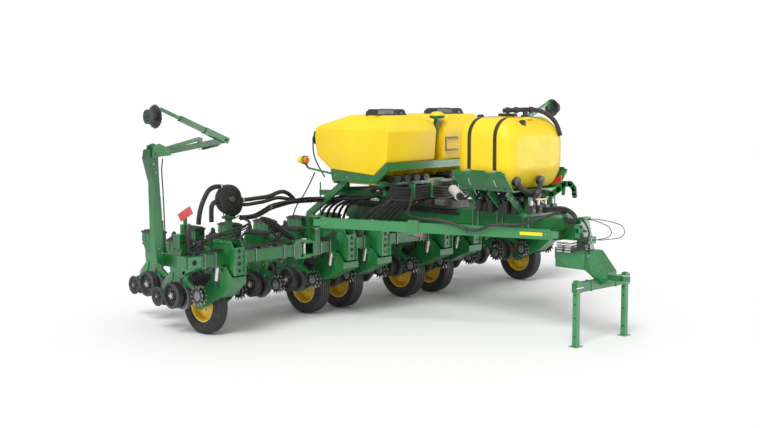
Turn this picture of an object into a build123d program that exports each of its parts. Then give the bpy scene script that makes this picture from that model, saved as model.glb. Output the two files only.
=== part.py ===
from build123d import *
import os
from math import pi, radians, tan

# Front-fold row-crop planter, raised on its wheels with both wings unfolded.
# X runs across the machine, Y to the rear, Z up, in millimetres.
# The model is laid out from the front face of the front toolbar (Y = 0), then moved
# along Y so that the origin lies on the ground under the middle of the machine.

os.makedirs("parts", exist_ok=True)

# Layout across and along the machine
row_spacing = 762
rank_gap = 1200
wing_end = 4630
rear_wing_end = 4050
hinge_x = 3 * row_spacing
hinge_gap = 120
fit_gap = 0.05
side_gap = 1.0

# Toolbars
bar_size = 178
bar_wall = 10
bar_bottom = 1131
bar_top = bar_bottom + bar_size
tie_width = 60

# Wing hinge
hinge_pin_radius = 30
lug_thickness = 25
lug_reach = 75

# Tongue and hitch
beam_half = 150
beam_bottom = 1480
beam_top = 1800
beam_front = -3570
beam_wall = 12
slide_clearance = 3
slide_rear = -1500
neck_half = 110
drawbar_top = 1020
drawbar_bottom = 940
ring_y = -4400
ring_radius = 65
ring_bore = 20
crossbar_y = -3970
crossbar_top = 940
crossbar_bottom = 800
jack_x = 610
jack_size = 76
jack_wall = 8
jack_height = 970

# Draft links
link_height = 155
link_width = 90
link_wall = 8
link_pin_radius = 20
link_rear = (2200, -100, 1645)
link_front = (350, -3400, 1570)

# Row units, measured back from the face of their own toolbar
gauge_y = 790
gauge_z = 625
gauge_radius = 203
gauge_inside = 50
gauge_outside = 165
gauge_axle = 12
closing_y = 1270
closing_z = 545
closing_radius = 152
closing_axle = 12
cleaner_y = 290
cleaner_z = 666
cleaner_radius = 150
opener_y = 700
opener_z = 600
opener_radius = 190
hopper_half = 115
hopper_top = 1490
shank_half = 20
bolt_spread = 110
bolt_radius = 10

# Transport wheels: where each axle is, and its tyre
wing_wheel_x = 5 * row_spacing
wing_axle_y = 640
wing_tyre_radius = 460
wing_tyre_half = 100
wing_rim_radius = 280
centre_wheel_x = (row_spacing, 2 * row_spacing)
centre_axle_y = 874
centre_tyre_radius = 465
centre_tyre_half = 127
centre_rim_radius = 290
axle_radius = 30
arm_plate = 20
arm_gap = 18
pivot_y = 50
pivot_z = 1045
pivot_radius = 25

# Seed tanks, with one lid each
tank_inner_x = 100
tank_outer_x = 1250
tank_floor = 2340
tank_top = 3300
tank_front = -740
tank_rear = 990
tank_wall = 12
lid_x = 700
lid_y = -160
lid_radius = 335
lid_height = 95
fill_radius = 240
lid_pin_radius = 8
tank_shoulder = 2560
front_band = (tank_shoulder - 120, tank_shoulder - 2)
receiver_y = -650
receiver_floor = 3240

# Hoses: two free coupler hoses that loop ahead of the hitch, and one laid over the frame
coupler_hose_radius = 6
frame_hose_radius = 22
duct_radius = 40
long_hose_route = [
    (60, -3700, 1803),
    (60, -3840, 1803),
    (66, -3990, 1797),
    (72, -4150, 1772),
    (78, -4262, 1745),
    (80, -4322, 1655),
    (78, -4262, 1568),
    (72, -4150, 1540),
    (66, -4010, 1517),
    (60, -3890, 1495),
    (60, -3792, 1495),
]
short_hose_route = [
    (-60, -3700, 1803),
    (-60, -3815, 1803),
    (-64, -3935, 1790),
    (-68, -4040, 1757),
    (-72, -4140, 1730),
    (-74, -4195, 1650),
    (-72, -4145, 1572),
    (-68, -4045, 1545),
    (-64, -3950, 1523),
    (-60, -3870, 1505),
    (-60, -3792, 1505),
]
frame_hose_route = [
    (-700, -470, 2135),
    (-700, -730, 2135),
    (-952, -965, 1931),
    (-1290, -1230, 1795),
    (-1410, -1560, 1762),
    (-1300, -1850, 1745),
    (-1190, -2080, 1700),
    (-1090, -2270, 1612),
    (-1010, -2430, 1604),
    (-930, -2590, 1690),
    (-830, -2760, 1712),
    (-690, -2990, 1715),
    (-579, -3217, 1808),
    (-380, -3400, 1895),
    (-165, -3400, 1895),
]

# Liquid tank
liquid_half = 690
liquid_front = -2765
liquid_rear = -1655
liquid_bottom = 2200
liquid_top = 3290
liquid_round = 300
liquid_lid_radius = 150

# Row markers, folded over the wing ends
marker_y = 600
mast_base = (4690, 1190)
mast_top = (4750, 2790)
mast_half = 60
elbow = (3430, 2950)
tip = (4610, 3440)
marker_axle = (4700, 3330)
marker_disc_radius = 185

front_reach = ring_y - ring_radius
rear_reach = rank_gap + closing_y + closing_radius
to_ground_centre = Location((0, -(front_reach + rear_reach) / 2, 0))


def save(finished, name):
    """Move a finished piece into the machine's own frame, name it and write it."""
    piece = finished.moved(to_ground_centre)
    piece.label = name
    export_step(piece, f"parts/{name}.step")


def copies(finished, places):
    """Copies of one finished piece, one at each (x, y) place, as separate solids."""
    solids = [solid.moved(Location((x, y, 0))) for x, y in places for solid in finished.solids()]
    return Compound(children=solids)


def block(x, y, z, mode=Mode.ADD):
    """A box between two limits on each axis."""
    middle = [(low + high) / 2 for low, high in (x, y, z)]
    with Locations(tuple(middle)):
        Box(abs(x[1] - x[0]), abs(y[1] - y[0]), abs(z[1] - z[0]), mode=mode)


def side_shape(points, x, mode=Mode.ADD):
    """A plate whose outline is given in Y and Z, between two values of X."""
    with BuildSketch(Plane.YZ.offset(min(x))) as outline:
        Polygon(*points, align=None)
    extrude(outline.sketch, amount=abs(x[1] - x[0]), mode=mode)


def front_shape(points, y, mode=Mode.ADD):
    """A plate whose outline is given in X and Z, between two values of Y."""
    with BuildSketch(Plane.XZ.offset(-max(y))) as outline:
        Polygon(*points, align=None)
    extrude(outline.sketch, amount=abs(y[1] - y[0]), mode=mode)


def rod(start, end, radius, mode=Mode.ADD):
    """A round bar between two points."""
    line = Vector(*end) - Vector(*start)
    with BuildSketch(Plane(origin=start, z_dir=line)) as section:
        Circle(radius)
    extrude(section.sketch, amount=line.length, mode=mode)


def beam(start, end, width, height, mode=Mode.ADD):
    """A rectangular bar between two points, its width level."""
    line = Vector(*end) - Vector(*start)
    level = Vector(0, 0, 1).cross(line)
    with BuildSketch(Plane(origin=start, x_dir=level, z_dir=line)) as section:
        Rectangle(width, height)
    extrude(section.sketch, amount=line.length, mode=mode)


def turned(x, y, z, profile):
    """A ring turned about an axle along X; the profile is (offset, radius) points."""
    with BuildSketch(Plane.XY.offset(z)) as section:
        Polygon(*[(x + offset, y + radius) for offset, radius in profile], align=None)
    revolve(section.sketch, axis=Axis((x, y, z), (1, 0, 0)))


def disc(x, y, z, radius, bore=0):
    """A round plate on an axle along X, with a hole for the axle."""
    with BuildSketch(Plane.YZ.offset(min(x))) as outline:
        with Locations((y, z)):
            Circle(radius)
            if bore:
                Circle(bore, mode=Mode.SUBTRACT)
    extrude(outline.sketch, amount=abs(x[1] - x[0]))


def hose(route, radius):
    """A hose along straight runs joined by arcs as large as the runs allow."""
    points = [Vector(*point) for point in route]
    bends = []
    for before, corner, after in zip(points, points[1:], points[2:]):
        turn = radians((corner - before).get_angle(after - corner))
        shorter = min((corner - before).length, (after - corner).length)
        bends.append(0.45 * shorter / tan(turn / 2))
    with BuildLine() as line:
        FilletPolyline(*points, radius=bends)
    path = line.wires()[0]
    with BuildSketch(Plane(origin=path @ 0, z_dir=path % 0)) as section:
        Circle(radius)
    sweep(section.sketch, path=path)
    length = path.length
    print(f"hose: length {length:.0f}, tightest bend {min(bends):.0f}, section {pi * radius**2 * length:.0f}")
    return length


def toolbar_frame(front_x, rear_x, ties):
    """Front and rear toolbars over their own stretches of X, joined by fore-aft ties."""
    for face, x in ((0, front_x), (rank_gap, rear_x)):
        block(x, (face, face + bar_size), (bar_bottom, bar_top))
    for tie in ties:
        block((tie - tie_width / 2, tie + tie_width / 2), (bar_size, rank_gap), (bar_bottom, bar_top))
    for face, x in ((0, front_x), (rank_gap, rear_x)):
        inside = (face + bar_wall, face + bar_size - bar_wall)
        block(x, inside, (bar_bottom + bar_wall, bar_top - bar_wall), Mode.SUBTRACT)


def row_unit():
    """One row unit: head bracket and U-bolts, parallel arms, shank, hopper and axles."""
    back = bar_size
    block((-bolt_spread, bolt_spread), (back, back + 22), (bar_bottom - 30, bar_top + 30))
    for side in (-1, 1):
        bolt_x = side * (bolt_spread - bolt_radius)
        limits = (bolt_x - bolt_radius, bolt_x + bolt_radius)
        block(limits, (-2 * bolt_radius, 0), (bar_bottom - 20, bar_top + 20))
        block(limits, (0, back), (bar_top, bar_top + 20))
        block(limits, (0, back), (bar_bottom - 20, bar_bottom))
        arm_x = side * 50
        for high, low in ((1290, 1130), (1130, 970)):
            beam((arm_x, back + 15, high), (arm_x, 620, low), 14, 45)
    side_shape(
        [
            (540, 1180),
            (1000, 1180),
            (1000, 1040),
            (880, 600),
            (760, 560),
            (620, 640),
            (540, 900),
        ],
        (-shank_half, shank_half),
    )
    block((-60, 60), (560, 660), (940, 1220))
    side_shape(
        [
            (640, 1180),
            (900, 1180),
            (1000, 1320),
            (980, hopper_top),
            (560, hopper_top),
            (560, 1300),
        ],
        (-hopper_half, hopper_half),
    )
    rod((-gauge_outside - 12, gauge_y, gauge_z), (gauge_outside + 12, gauge_y, gauge_z), gauge_axle)
    beam((0, 930, 900), (0, closing_y, closing_z), 24, 60)
    rod((-85, closing_y, closing_z), (85, closing_y, closing_z), closing_axle)
    beam((0, 640, 860), (0, cleaner_y, cleaner_z), 24, 50)
    rod((-60, cleaner_y, cleaner_z), (60, cleaner_y, cleaner_z), closing_axle)


def row_discs():
    """The discs of one row that cut, clear and close: openers, row cleaners, closing wheels."""
    for side in (-1, 1):
        inner = shank_half
        disc((side * inner, side * (inner + 14)), opener_y, opener_z, 45)
        disc((side * (inner + 2), side * (inner + 7)), opener_y, opener_z, opener_radius)
        with Locations((side * (inner + 7), gauge_y, gauge_z)):
            Box(20, 2 * gauge_axle + 12, 2 * gauge_axle + 12, mode=Mode.SUBTRACT)
        ends = (side * 30, side * 45)
        disc(ends, cleaner_y, cleaner_z, cleaner_radius, closing_axle + fit_gap)
        ends = (side * 45, side * 72)
        disc(ends, closing_y, closing_z, closing_radius, closing_axle + fit_gap)


def gauge_wheels():
    """The two gauge wheels of one row: rubber tyres on dished discs, running on the axle."""
    bore = gauge_axle + fit_gap
    profile = [
        (gauge_inside, bore),
        (gauge_outside - 20, bore),
        (gauge_outside - 20, 60),
        (gauge_outside - 45, 70),
        (gauge_outside - 45, 150),
        (gauge_outside, gauge_radius - 15),
        (gauge_outside - 15, gauge_radius),
        (gauge_inside + 15, gauge_radius),
        (gauge_inside, gauge_radius - 15),
    ]
    turned(0, gauge_y, gauge_z, profile)
    turned(0, gauge_y, gauge_z, [(-offset, radius) for offset, radius in profile])


def lift_bracket():
    """The clamp on the front toolbar that carries one wheel's arm and cylinder."""
    block((-95, 95), (-200, -180), (985, 1400))
    for side in (-1, 1):
        side_shape(
            [
                (-180, 1400),
                (-120, 1500),
                (360, 1500),
                (360, bar_top),
                (0, bar_top),
                (0, bar_bottom),
                (bar_size + 20, bar_bottom),
                (bar_size + 20, 1010),
                (-180, 985),
            ],
            (side * 80, side * 95),
        )
    rod((-175, pivot_y, pivot_z), (175, pivot_y, pivot_z), pivot_radius)
    rod((-95, 320, 1420), (95, 320, 1420), 18)


def lift_arm(axle_y, axle_z, tyre_half):
    """The forked arm from the pivot under the toolbar back to one wheel's axle."""
    inner = tyre_half + arm_gap
    outer = inner + arm_plate
    scoop_back = axle_y - 530
    for side in (-1, 1):
        side_shape(
            [
                (-40, 1110),
                (-190, 960),
                (-190, 860),
                (scoop_back, 620),
                (axle_y - 60, axle_z - 75),
                (axle_y + 60, axle_z - 75),
                (axle_y + 75, axle_z + 60),
                (axle_y - 120, axle_z + 230),
                (pivot_y + 90, 1110),
            ],
            (side * inner, side * outer),
        )
    side_shape(
        [
            (-190, 960),
            (-190, 860),
            (scoop_back, 620),
            (scoop_back + 60, 680),
            (-120, 910),
            (-120, 960),
        ],
        (-inner, inner),
    )
    bore_ends = ((-outer - 5, pivot_y, pivot_z), (outer + 5, pivot_y, pivot_z))
    rod(*bore_ends, pivot_radius + fit_gap, Mode.SUBTRACT)
    rod((-outer, axle_y, axle_z), (outer, axle_y, axle_z), axle_radius)


def lift_cylinder(axle_y):
    """The hydraulic cylinder that raises one wheel's side of the machine."""
    head = Vector(0, 320, 1420)
    foot = Vector(0, axle_y - 550, 735)
    middle = head + (foot - head) * 0.62
    rod(head + (foot - head) * 0.05, middle, 34)
    rod(middle, head + (foot - head) * 0.95, 19)


def tyre(axle_y, radius, half, rim_radius):
    """One tyre with a rounded tread and a seat for its rim."""
    turned(
        0,
        axle_y,
        radius,
        [
            (-half * 0.72, rim_radius),
            (-half * 0.95, rim_radius + 45),
            (-half, rim_radius + (radius - rim_radius) * 0.55),
            (-half * 0.82, radius - 12),
            (-half * 0.4, radius),
            (half * 0.4, radius),
            (half * 0.82, radius - 12),
            (half, rim_radius + (radius - rim_radius) * 0.55),
            (half * 0.95, rim_radius + 45),
            (half * 0.72, rim_radius),
        ],
    )


def rim(axle_y, axle_z, half, rim_radius):
    """One pressed rim: a drop-centre band, a dished disc and a hub on the axle."""
    edge = half * 0.72
    turned(
        0,
        axle_y,
        axle_z,
        [
            (-edge, rim_radius),
            (-edge, rim_radius - 22),
            (-edge * 0.3, rim_radius - 45),
            (-edge * 0.3, 95),
            (-edge * 0.75, 85),
            (-edge * 0.75, axle_radius + fit_gap),
            (edge * 0.75, axle_radius + fit_gap),
            (edge * 0.75, 85),
            (-edge * 0.1, 95),
            (-edge * 0.1, rim_radius - 45),
            (edge, rim_radius - 22),
            (edge, rim_radius),
        ],
    )


front_rows = [(n + 0.5) * row_spacing for n in range(6)]
rear_rows = [n * row_spacing for n in range(6)]
centre_rows = [(side * x, 0) for x in front_rows[:3] for side in (-1, 1)]
centre_rows += [(side * x, rank_gap) for x in rear_rows[1:4] for side in (-1, 1)]
centre_rows.append((0, rank_gap))
tie_offset = 145
tie_x = row_spacing - tie_offset
wing_rows = [(x, 0) for x in front_rows[3:]] + [(x, rank_gap) for x in rear_rows[4:]]
centre_wheels = [side * x for x in centre_wheel_x for side in (-1, 1)]
bar_end = hinge_x - hinge_gap
lug_root = bar_end - 145
wing_start = hinge_x + hinge_gap
hinge_y = bar_size / 2

# Centre section --------------------------------------------------------------

with BuildPart() as centre_toolbars:
    centre_ties = [side * x for x in (tie_x, tie_x + row_spacing, 2100) for side in (-1, 1)]
    toolbar_frame((-bar_end, bar_end), (-bar_end, bar_end), centre_ties)
    for side in (-1, 1):
        # The rear toolbar runs on past the hinge line to carry the outer rows.
        block(
            (side * bar_end, side * (hinge_x + 130)), (rank_gap, rank_gap + bar_size), (bar_bottom, bar_top),
        )
        for low in (bar_top, bar_bottom - lug_thickness):
            z = (low, low + lug_thickness)
            block((side * lug_root, side * (hinge_x + lug_reach)), (0, bar_size), z)
        # Tower for the rear pin of the draft link.
        block((side * lug_root, side * (bar_end - 40)), (0, bar_size), (bar_top, link_rear[2] + 90))
        for low in (link_rear[2] - 85, link_rear[2] + 60):
            ear_x = (side * lug_root, side * (link_rear[0] + 40))
            block(ear_x, (link_rear[1] - 40, 60), (low, low + 25))
        pin_line = [(side * link_rear[0], link_rear[1], link_rear[2] + rise) for rise in (-85, 85)]
        rod(*pin_line, link_pin_radius)
        rod(
            (side * hinge_x, hinge_y, bar_bottom - 60),
            (side * hinge_x, hinge_y, bar_top + 60),
            hinge_pin_radius + fit_gap,
            Mode.SUBTRACT,
        )
    # Pedestals that carry the tongue beam.
    for face in (0, rank_gap):
        block((-70, 70), (face, face + bar_size), (bar_top, beam_bottom))
save(centre_toolbars.part, "centre_toolbars")

with BuildPart() as hinge_pins:
    for side in (-1, 1):
        low = bar_bottom - 2 * lug_thickness - 15
        high = bar_top + 2 * lug_thickness + 5
        rod((side * hinge_x, hinge_y, low), (side * hinge_x, hinge_y, high), hinge_pin_radius)
        rod((side * hinge_x, hinge_y, high), (side * hinge_x, hinge_y, high + 15), hinge_pin_radius + 15)
save(hinge_pins.part, "hinge_pins")

with BuildPart() as bracket:
    lift_bracket()
with BuildPart() as centre_arm:
    lift_arm(centre_axle_y, centre_tyre_radius, centre_tyre_half)
with BuildPart() as centre_cylinder:
    lift_cylinder(centre_axle_y)
with BuildPart() as unit:
    row_unit()
with BuildPart() as unit_discs:
    row_discs()
with BuildPart() as unit_wheels:
    gauge_wheels()
with BuildPart() as centre_tyre:
    tyre(centre_axle_y, centre_tyre_radius, centre_tyre_half, centre_rim_radius)
with BuildPart() as centre_rim:
    rim(centre_axle_y, centre_tyre_radius, centre_tyre_half, centre_rim_radius)

wheel_places = [(x, 0) for x in centre_wheels]
save(copies(bracket.part, wheel_places), "centre_lift_brackets")
save(copies(centre_arm.part, wheel_places), "centre_lift_arms")
save(copies(centre_cylinder.part, wheel_places), "centre_lift_cylinders")
save(copies(unit.part, centre_rows), "centre_row_units")
save(copies(unit_discs.part, centre_rows), "centre_row_discs")
for rank, face in (("front", 0), ("rear", rank_gap)):
    rank_rows = [place for place in centre_rows if place[1] == face]
    save(copies(unit_wheels.part, rank_rows), f"centre_gauge_wheels_{rank}")
for side, hand in ((-1, "right"), (1, "left")):
    pair = [(side * x, 0) for x in centre_wheel_x]
    save(copies(centre_tyre.part, pair), f"{hand}_centre_tyres")
    save(copies(centre_rim.part, pair), f"{hand}_centre_rims")

# Tongue and hitch ------------------------------------------------------------

with BuildPart() as tongue_beam:
    rear_end = rank_gap + bar_size
    block((-beam_half, beam_half), (beam_front, rear_end), (beam_bottom, beam_top))
    inside = (beam_bottom + beam_wall, beam_top - beam_wall)
    block((-beam_half + beam_wall, beam_half - beam_wall), (beam_front, rear_end), inside, Mode.SUBTRACT)
    for side in (-1, 1):
        for low in (link_front[2] - 80, link_front[2] + 60):
            ear_x = (side * (beam_half - beam_wall), side * (link_front[0] + 45))
            block(ear_x, (link_front[1] - 40, link_front[1] + 40), (low, low + 20))
        pin_line = [(side * link_front[0], link_front[1], link_front[2] + rise) for rise in (-80, 80)]
        rod(*pin_line, link_pin_radius)
    # Clamp on top of the beam that holds the end of the frame hose.
    block((-165, -60), (-3440, -3360), (beam_top, 1935))
save(tongue_beam.part, "tongue_beam")

with BuildPart() as frame_hose:
    hose(frame_hose_route, frame_hose_radius)
save(frame_hose.part, "frame_hose")

for route, name in ((long_hose_route, "coupler_hose_long"), (short_hose_route, "coupler_hose_short")):
    with BuildPart() as coupler_hose:
        hose(route, coupler_hose_radius)
    save(coupler_hose.part, name)

for side, hand in ((-1, "right"), (1, "left")):
    start = Vector(side * link_rear[0], link_rear[1], link_rear[2])
    end = Vector(side * link_front[0], link_front[1], link_front[2])
    along = (end - start).normalized()
    with BuildPart() as draft_link:
        first, last = start + along * 90, end - along * 90
        beam(first, last, link_width, link_height)
        beam(first, last, link_width - 2 * link_wall, link_height - 2 * link_wall, Mode.SUBTRACT)
        beam(start - along * 30, start + along * 200, 60, 110)
        beam(end - along * 200, end + along * 30, 60, 110)
        plate = start + (end - start) * 0.42
        beam(plate - along * 80, plate + along * 80, link_width + 24, link_height + 60)
        beam(
            plate - along * 81,
            plate + along * 81,
            link_width - 2 * link_wall,
            link_height - 2 * link_wall,
            Mode.SUBTRACT,
        )
        for joint in (start, end):
            rod(
                joint - Vector(0, 0, 100),
                joint + Vector(0, 0, 100),
                link_pin_radius + fit_gap,
                Mode.SUBTRACT,
            )
    save(draft_link.part, f"{hand}_draft_link")

slide_x = (-beam_half + beam_wall + slide_clearance, beam_half - beam_wall - slide_clearance)
slide_z = (beam_bottom + beam_wall + slide_clearance, beam_top - beam_wall - slide_clearance)
with BuildPart() as hitch_slide:
    block(slide_x, (beam_front - 30, slide_rear), slide_z)
    inner_x = (slide_x[0] + beam_wall, slide_x[1] - beam_wall)
    block(
        inner_x,
        (beam_front - 30, slide_rear),
        (slide_z[0] + beam_wall, slide_z[1] - beam_wall),
        Mode.SUBTRACT,
    )
    side_shape(
        [(-3590, slide_z[1]), (-3650, slide_z[1]), (-3760, 1350), (-3590, 1350)], (-neck_half, neck_half),
    )
    block((-neck_half, neck_half), (-3750, -3200), (1050, 1350))
    block((-neck_half + 12, neck_half - 12), (-3560, -3190), (1062, 1338), Mode.SUBTRACT)
    side_shape(
        [
            (-3750, 1350), (-3900, 1350), (-4160, 1060),
            (-4160, drawbar_bottom), (crossbar_y - 60, 860), (-3750, 1050),
        ],
        (-neck_half, neck_half),
    )
    block((-60, 60), (ring_y + ring_radius - 10, -4150), (drawbar_bottom, drawbar_top))
    with BuildSketch(Plane.XY.offset(drawbar_bottom)) as eye:
        with Locations((0, ring_y)):
            Circle(ring_radius)
    extrude(eye.sketch, amount=drawbar_top - drawbar_bottom)
    rod((0, ring_y, drawbar_bottom), (0, ring_y, drawbar_top), ring_bore, Mode.SUBTRACT)
    # Rack and coupler block that hold the ends of the two free hoses.
    block((-90, 90), (-3700, beam_front - 30), (slide_z[1], slide_z[1] + 45))
    block((-100, 100), (-3792, -3690), (1440, 1540))
    # Crossbar with a square sleeve at each end for a jack stand.
    sleeve = jack_size / 2 + 12
    block(
        (-jack_x - sleeve, jack_x + sleeve),
        (crossbar_y - 50, crossbar_y + 50),
        (crossbar_bottom, crossbar_top),
    )
    for side in (-1, 1):
        hole = jack_size / 2 + side_gap
        x = (side * jack_x - hole, side * jack_x + hole)
        y = (crossbar_y - hole, crossbar_y + hole)
        block(x, y, (crossbar_bottom, crossbar_top), Mode.SUBTRACT)
save(hitch_slide.part, "hitch_slide")

for side, hand in ((-1, "right"), (1, "left")):
    half = jack_size / 2
    with BuildPart() as jack_stand:
        x = side * jack_x
        block((x - half, x + half), (crossbar_y - half, crossbar_y + half), (10, jack_height))
        bore = half - jack_wall
        block((x - bore, x + bore), (crossbar_y - bore, crossbar_y + bore), (10, jack_height), Mode.SUBTRACT)
        block((x - 75, x + 75), (crossbar_y - 75, crossbar_y + 75), (0, 10))
        for level in (150, 420, 620, 760):
            rod((x - 60, crossbar_y, level), (x + 60, crossbar_y, level), 13, Mode.SUBTRACT)
    save(jack_stand.part, f"{hand}_jack_stand")

# Tanks -----------------------------------------------------------------------


def seed_tank_outline(inset):
    """Side outline of a seed tank in Y and Z, drawn in by a wall thickness."""
    return [
        (tank_rear - inset, 2960),
        (tank_rear - 60 - inset, 2620 + inset / 2),
        (600, tank_floor + 60 + inset),
        (tank_front + 320, tank_floor + inset),
        (tank_front + 40 + inset, tank_shoulder + inset / 2),
        (tank_front + inset, 3050),
        (tank_front + 150, tank_top - inset),
        (350, tank_top - inset),
        (tank_rear - 50 - inset, 3110),
    ]


def seed_tank_body(side, inset, mode):
    """A seed tank's solid: the side outline, with both upper long edges bevelled."""
    low, high = tank_inner_x + inset, tank_outer_x - inset
    with BuildPart(mode=Mode.PRIVATE) as body:
        side_shape(seed_tank_outline(inset), (side * low, side * high))
        bevel = 260
        for edge, way in ((high, 1), (low, -1)):
            cut = 220 if way == 1 else 120
            front_shape(
                [
                    (side * (edge - way * bevel), tank_top + 1 - inset),
                    (side * (edge + way * 5), tank_top + 1 - inset),
                    (side * (edge + way * 5), tank_top - inset - cut),
                ],
                (tank_front - 10, tank_rear + 10),
                Mode.SUBTRACT,
            )
    add(body.part, mode=mode)


for side, hand in ((-1, "right"), (1, "left")):
    hinge_line = lid_y + lid_radius + 40
    hinge_z = tank_top + 40
    with BuildPart() as seed_tank:
        seed_tank_body(side, 0, Mode.ADD)
        seed_tank_body(side, tank_wall, Mode.SUBTRACT)
        with BuildSketch(Plane.XY.offset(tank_top - tank_wall - 5)) as neck:
            with Locations((side * lid_x, lid_y)):
                Circle(fill_radius)
        extrude(neck.sketch, amount=40, mode=Mode.SUBTRACT)
        for way in (-1, 1):
            x = (side * lid_x + way * 60, side * lid_x + way * 80)
            block(x, (hinge_line - 22, hinge_line + 22), (tank_top, hinge_z + 18))
        rod(
            (side * lid_x - 90, hinge_line, hinge_z),
            (side * lid_x + 90, hinge_line, hinge_z),
            lid_pin_radius,
        )
    save(seed_tank.part, f"{hand}_seed_tank")

    with BuildPart() as tank_lid:
        with BuildSketch(Plane.XY.offset(tank_top + 4)) as cover:
            with Locations((side * lid_x, lid_y)):
                RegularPolygon(lid_radius, 8, major_radius=False, rotation=22.5)
        extrude(cover.sketch, amount=lid_height, taper=25)
        block((side * lid_x - 56, side * lid_x + 56), (lid_y + 250, hinge_line), (tank_top + 12, hinge_z + 8))
        disc((side * lid_x - 56, side * lid_x + 56), hinge_line, hinge_z, 20)
        pin_hole = ((side * lid_x - 60, hinge_line, hinge_z), (side * lid_x + 60, hinge_line, hinge_z))
        rod(*pin_hole, lid_pin_radius + fit_gap, Mode.SUBTRACT)
    save(tank_lid.part, f"{hand}_tank_lid")


def liquid_tank_body(inset, mode):
    """The liquid tank's solid: a rounded cross section with rounded ends, sloped at the front."""
    width = 2 * (liquid_half - inset)
    height = liquid_top - liquid_bottom - 2 * inset
    with BuildPart(mode=Mode.PRIVATE) as body:
        with BuildSketch(Plane.XZ.offset(-liquid_rear + inset)) as section:
            with Locations((0, (liquid_top + liquid_bottom) / 2)):
                RectangleRounded(width, height, liquid_round - inset)
        extrude(section.sketch, amount=liquid_rear - liquid_front - 2 * inset)
        fillet(body.faces().sort_by(Axis.Y)[0].edges(), 140 - inset)
        fillet(body.faces().sort_by(Axis.Y)[-1].edges(), 140 - inset)
        # The front end is drawn in above and below.
        front, top, bottom = liquid_front + inset, liquid_top - inset, liquid_bottom + inset
        for slope in (
            [(front - 1, top - 220), (front + 245, top + 1), (front - 1, top + 1)],
            [(front - 1, bottom + 280), (front + 125, bottom - 1), (front - 1, bottom - 1)],
        ):
            side_shape(slope, (-liquid_half, liquid_half), Mode.SUBTRACT)
    add(body.part, mode=mode)


liquid_lid_y = -2150
with BuildPart() as liquid_tank:
    liquid_tank_body(0, Mode.ADD)
    with BuildSketch(Plane.XY.offset(liquid_top - 30)) as collar:
        with Locations((0, liquid_lid_y)):
            Circle(liquid_lid_radius - 6)
    extrude(collar.sketch, amount=60)
    liquid_tank_body(tank_wall, Mode.SUBTRACT)
    with BuildSketch(Plane.XY.offset(liquid_top - 60)) as throat:
        with Locations((0, liquid_lid_y)):
            Circle(liquid_lid_radius - 22)
    extrude(throat.sketch, amount=120, mode=Mode.SUBTRACT)
save(liquid_tank.part, "liquid_tank")

with BuildPart() as liquid_tank_lid:
    with BuildSketch(Plane.XY.offset(liquid_top + 31)) as cap:
        with Locations((0, liquid_lid_y)):
            Circle(liquid_lid_radius)
    extrude(cap.sketch, amount=22)
    with BuildSketch(Plane.XY.offset(liquid_top + 3)) as skirt:
        with Locations((0, liquid_lid_y)):
            Circle(liquid_lid_radius)
            Circle(liquid_lid_radius - 6 + fit_gap, mode=Mode.SUBTRACT)
    extrude(skirt.sketch, amount=28)
save(liquid_tank_lid.part, "liquid_tank_lid")

with BuildPart() as tank_straps:
    for strap_y in (-1960, -2470):
        for outer, cut in ((6, Mode.ADD), (1, Mode.SUBTRACT)):
            with BuildSketch(Plane.XZ.offset(-strap_y - 35)) as loop:
                with Locations((0, (liquid_top + liquid_bottom) / 2)):
                    RectangleRounded(
                        2 * (liquid_half + outer),
                        liquid_top - liquid_bottom + 2 * outer,
                        liquid_round + outer,
                    )
            extrude(loop.sketch, amount=70, mode=cut)
save(tank_straps.part, "tank_straps")

saddle_floor = liquid_bottom - 8
with BuildPart() as tank_saddle:
    # Two folded side plates and the pedestal between them and the tongue beam.
    block((-566, 566), (-2740, -1680), (saddle_floor - 20, saddle_floor))
    for side in (-1, 1):
        front_shape(
            [
                (side * 560, saddle_floor),
                (side * 566, saddle_floor - 20),
                (side * 776, 2436),
                (side * 776, 2470),
                (side * 760, 2470),
                (side * 760, 2440),
            ],
            (-2740, -1680),
        )
    block((-beam_half, beam_half), (-2700, -2620), (beam_top, saddle_floor - 20))
    block((-beam_half, beam_half), (-1800, -1720), (beam_top, saddle_floor - 20))
save(tank_saddle.part, "tank_saddle")

with BuildPart() as tank_frame:
    # Cross members under the seed tanks, posts down to the tongue beam, and raking legs.
    for y in (-560, 480):
        block((-tank_outer_x + 40, tank_outer_x - 40), (y, y + 80), (tank_floor - 170, tank_floor - 90))
        block((-beam_half, beam_half), (y, y + 80), (beam_top, tank_floor - 170))
    for side in (-1, 1):
        sill_x = (side * (tank_outer_x - 60), side * (tank_outer_x - 20))
        side_shape(
            [
                (600, tank_floor + 58),
                (tank_front + 320, tank_floor - 2),
                (tank_front + 38, front_band[1]),
                (tank_front - 4, front_band[1]),
                (tank_front - 4, front_band[0]),
                (tank_front + 280, tank_floor - 130),
                (560, tank_floor - 130),
            ],
            sill_x,
        )
        leg_x = side * (tank_outer_x - 100)
        block((leg_x - 30, leg_x + 30), (rank_gap + 10, rank_gap + 90), (bar_top, bar_top + 300))
        beam((leg_x, 300, tank_floor - 120), (leg_x, rank_gap + 50, bar_top + 280), 60, 110)
    block((-tank_outer_x + 20, tank_outer_x - 20), (tank_front - 24, tank_front - 4), front_band)
    # Receiver post, with a flat cap that the receiver sits on.
    foot = (front_band[0], front_band[0] + 60)
    block((-90, 90), (tank_front - 14, -470), foot)
    beam((0, -500, foot[0]), (0, receiver_y + 5, receiver_floor - 12), 60, 60)
    block((-50, 50), (receiver_y - 50, receiver_y + 50), (receiver_floor - 15, receiver_floor))
save(tank_frame.part, "tank_frame")

with BuildPart() as receiver:
    with BuildSketch(Plane.XY.offset(receiver_floor)) as puck:
        with Locations((0, receiver_y)):
            Circle(130)
    extrude(puck.sketch, amount=110, taper=12)
save(receiver.part, "receiver")

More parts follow.
